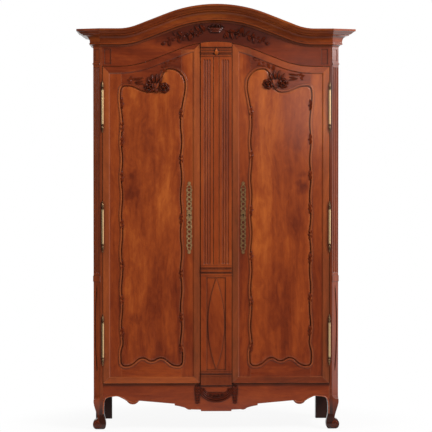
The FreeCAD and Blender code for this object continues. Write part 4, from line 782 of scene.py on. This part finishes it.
# a bead follows each leg and the scroll of the apron, in a lighter wood that paints the highlight along it:
# x, z, how far out
edgeBead = {"rod": 0.0032, "points": (
    (0.6205, 0.085, -0.010), (0.6205, 0.105, -0.010), (0.6205, 0.125, -0.006), (0.619, 0.145, -0.002),
    (0.6155, 0.160, 0.0), (0.609, 0.1715, 0.0), (0.597, 0.1805, 0.0), (0.568, 0.1845, 0.0),
    (0.541, 0.1865, 0.0), (0.524, 0.181, 0.0), (0.5055, 0.1715, 0.0), (0.489, 0.161, 0.0),
    (0.472, 0.1525, 0.0), (0.457, 0.150, 0.0), (0.440, 0.1525, 0.0), (0.431, 0.158, 0.0))}
litBeadWood = cherryWood("litEdgeBeadWood", "x", seed=4.1, shade=0.2, figure=0.4, shadeAndDirt=0.6, coat=0.4)
for turn, name in ((1, "rightEdgeBead"), (-1, "leftEdgeBead")):
    line = stem([(turn * x, z, out) for x, z, out in edgeBead["points"]], edgeBead["rod"], 0.0)
    gather(name, [line], frontY, "carcass", litBeadWood)
print("edge beads run")

# flame at the head of the candle on the centre post: angle, length and width of its leaves
flame = {"foot": (0.001, 2.052), "leaves": ((90, 0.04, 0.9), (116, 0.027, 0.8), (64, 0.027, 0.8)),
         "sunk": 0.002}
items = [spread(leaf, *flame["foot"], angle, size, tilt=4, wide=wide, relief=0.9)
         for angle, size, wide in flame["leaves"]]
flameWood = cherryWood("flameWood", "z", seed=4.1, shade=0.3, figure=0.4, shadeAndDirt=0.6, coat=0.04, gloss=0.15)
gather("candleFlame", items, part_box("centre_post")[0].y + flame["sunk"], "carcass", flameWood)
print("candle flame carved")

# ceiling: loose boards that run out to the cornice at both ends
ceiling = {"boards": 4, "gap": 0.0006, "ease": 0.0012, "reach": 0.0078}
low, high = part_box("ceiling_boards")
each = (high.y - low.y) / ceiling["boards"]
bpy.ops.object.select_all(action="DESELECT")
bpy.ops.mesh.primitive_cube_add(size=1.0, location=(0.0, 0.0, (low.z + high.z) / 2),
                                scale=(high.x - low.x + 2 * ceiling["reach"], each - ceiling["gap"],
                                       high.z - low.z))
board = bpy.context.object
settle()
pick(board, lambda spot: True)
bpy.ops.mesh.bevel(offset=ceiling["ease"], segments=2, affect="EDGES")
bpy.ops.object.mode_set(mode="OBJECT")
items = [spread(board, 0.0, low.y + each * (number + 0.5)) for number in range(ceiling["boards"])]
only(*items)
settle()
bpy.ops.object.join()
planks = bpy.context.object
planks.name = planks.data.name = "ceilingPlanks"
ceilingWood = cherryWood("ceilingWood", "x", seed=8.6, shade=-0.12, shadeAndDirt=1.2, coat=0.0, gloss=0.15,
                         rough=0.75)
dress(planks, ceilingWood)
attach(planks, "carcass")
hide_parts("ceiling_boards")
for master in (leaf, blade, petal, board):
    bpy.data.objects.remove(master)
print("ceiling laid")

# studio: white surroundings, large soft light from the right, weaker one from the left
studio = {"paper": 0.9, "white": (1.0, 1.0, 1.0, 1.0), "ambient": 0.3, "dimSide": 0.05,
          "floorRadius": 1.4, "floorDrop": 0.0005, "floorFade": (0.75, 1.3, 0.92, 1.0),
          "paperWay": (0.8, 0.6), "paperEdge": (-0.15, 0.35)}
# power, size, place, aim; the glints are small windows in the polish of the right door and the canted corner
lamps = {
    "keyBox": (330.0, (3.0, 2.4), (4.2, -3.6, 4.4), (0.0, 0.0, 1.3)),
    "fillBox": (90.0, (3.0, 2.4), (-4.4, -3.6, 3.4), (0.0, 0.0, 1.3)),
    "windowGlint": (2.4, (0.34, 0.62), (0.78, -4.2, 1.84), (0.48, 0.0, 1.78)),
    "sideGlint": (12.0, (0.8, 0.7), (5.0, 0.0, 2.5), (0.7, -0.2, 2.2)),
}


def sightRays(start):
    # rays straight from the camera, rays by way of a gloss or glass, and either kind
    rays = start.node("ShaderNodeLightPath").link.node.outputs
    straight = Sock(start.tree, rays["Is Camera Ray"])
    mirrored = Sock(start.tree, rays["Is Glossy Ray"]) + Sock(start.tree, rays["Is Transmission Ray"])
    return straight, mirrored, (straight + mirrored).capped(1.0)


def whiteStage(name):
    # white to the eye, with the shadow kept near the object
    material, tree, output = freshMaterial(name)
    start = place(tree)
    far = start.stretched((1.0, 1.0, 0.0)).length().step(*studio["floorFade"])
    plain = start.node("ShaderNodeBsdfDiffuse", None, {"Color": (studio["paper"],) * 3 + (1.0,)})
    glow = start.node("ShaderNodeEmission", None, {"Color": studio["white"], "Strength": 1.0})
    seen = sightRays(start)[-1]
    mixed = start.node("ShaderNodeMixShader", None, {0: seen * far, 1: plain, 2: glow})
    tree.links.new(mixed.link, output.inputs["Surface"])
    return material


bpy.ops.object.select_all(action="DESELECT")
bpy.ops.mesh.primitive_circle_add(vertices=96, radius=studio["floorRadius"], fill_type="NGON",
                                  location=(0.0, 0.0, -studio["floorDrop"]))
floor = bpy.context.object
floor.name = "studioFloor"
floor.data.materials.append(whiteStage("floorPaper"))

world = bpy.data.worlds.new("studioAir")
bpy.context.scene.world = world
world.use_nodes = True
air = world.node_tree
air.nodes.clear()
airOut = air.nodes.new("ShaderNodeOutputWorld")
start = Sock(air, air.nodes.new("ShaderNodeTexCoord").outputs["Generated"])
# the paper stands behind and to the right; the photographer's side of the room is dim
toRight, toBack = studio["paperWay"]
paperSide = (start.part("x") * toRight + start.part("y") * toBack).step(*studio["paperEdge"])
straight, mirrored, seen = sightRays(start)
white = straight + mirrored * paperSide.step(0.0, 1.0, studio["dimSide"], 1.0)
bright = white + (1 - seen) * studio["ambient"]
glow = start.node("ShaderNodeBackground", None, {"Color": studio["white"], "Strength": bright})
air.links.new(glow.link, airOut.inputs["Surface"])

for name, (power, size, spot, aim) in lamps.items():
    bpy.ops.object.light_add(type="AREA", location=spot)
    lamp = bpy.context.object
    lamp.name = name
    lamp.data.shape = "ELLIPSE"
    lamp.data.size, lamp.data.size_y = size
    lamp.data.energy = power
    lamp.rotation_euler = (Vector(aim) - Vector(spot)).to_track_quat("-Z", "Y").to_euler()

# camera as in the photograph: far off, above the middle, a little left of centre
lens = {"focal": 197.9, "distance": 13.0, "height": 1.63, "left": 0.33, "aim": (-0.0012, 1.173)}
eye = Vector((-lens["left"], frontY - lens["distance"], lens["height"]))
target = Vector((lens["aim"][0], frontY, lens["aim"][1]))
bpy.ops.object.camera_add(location=eye)
camera = bpy.context.object
camera.name = "photoCamera"
camera.rotation_euler = (target - eye).to_track_quat("-Z", "Y").to_euler()
camera.data.lens = lens["focal"]
camera.data.sensor_width = 36.0
camera.data.clip_end = 60.0
bpy.context.scene.camera = camera
bpy.context.scene.view_settings.view_transform = "Standard"
print("studio set")
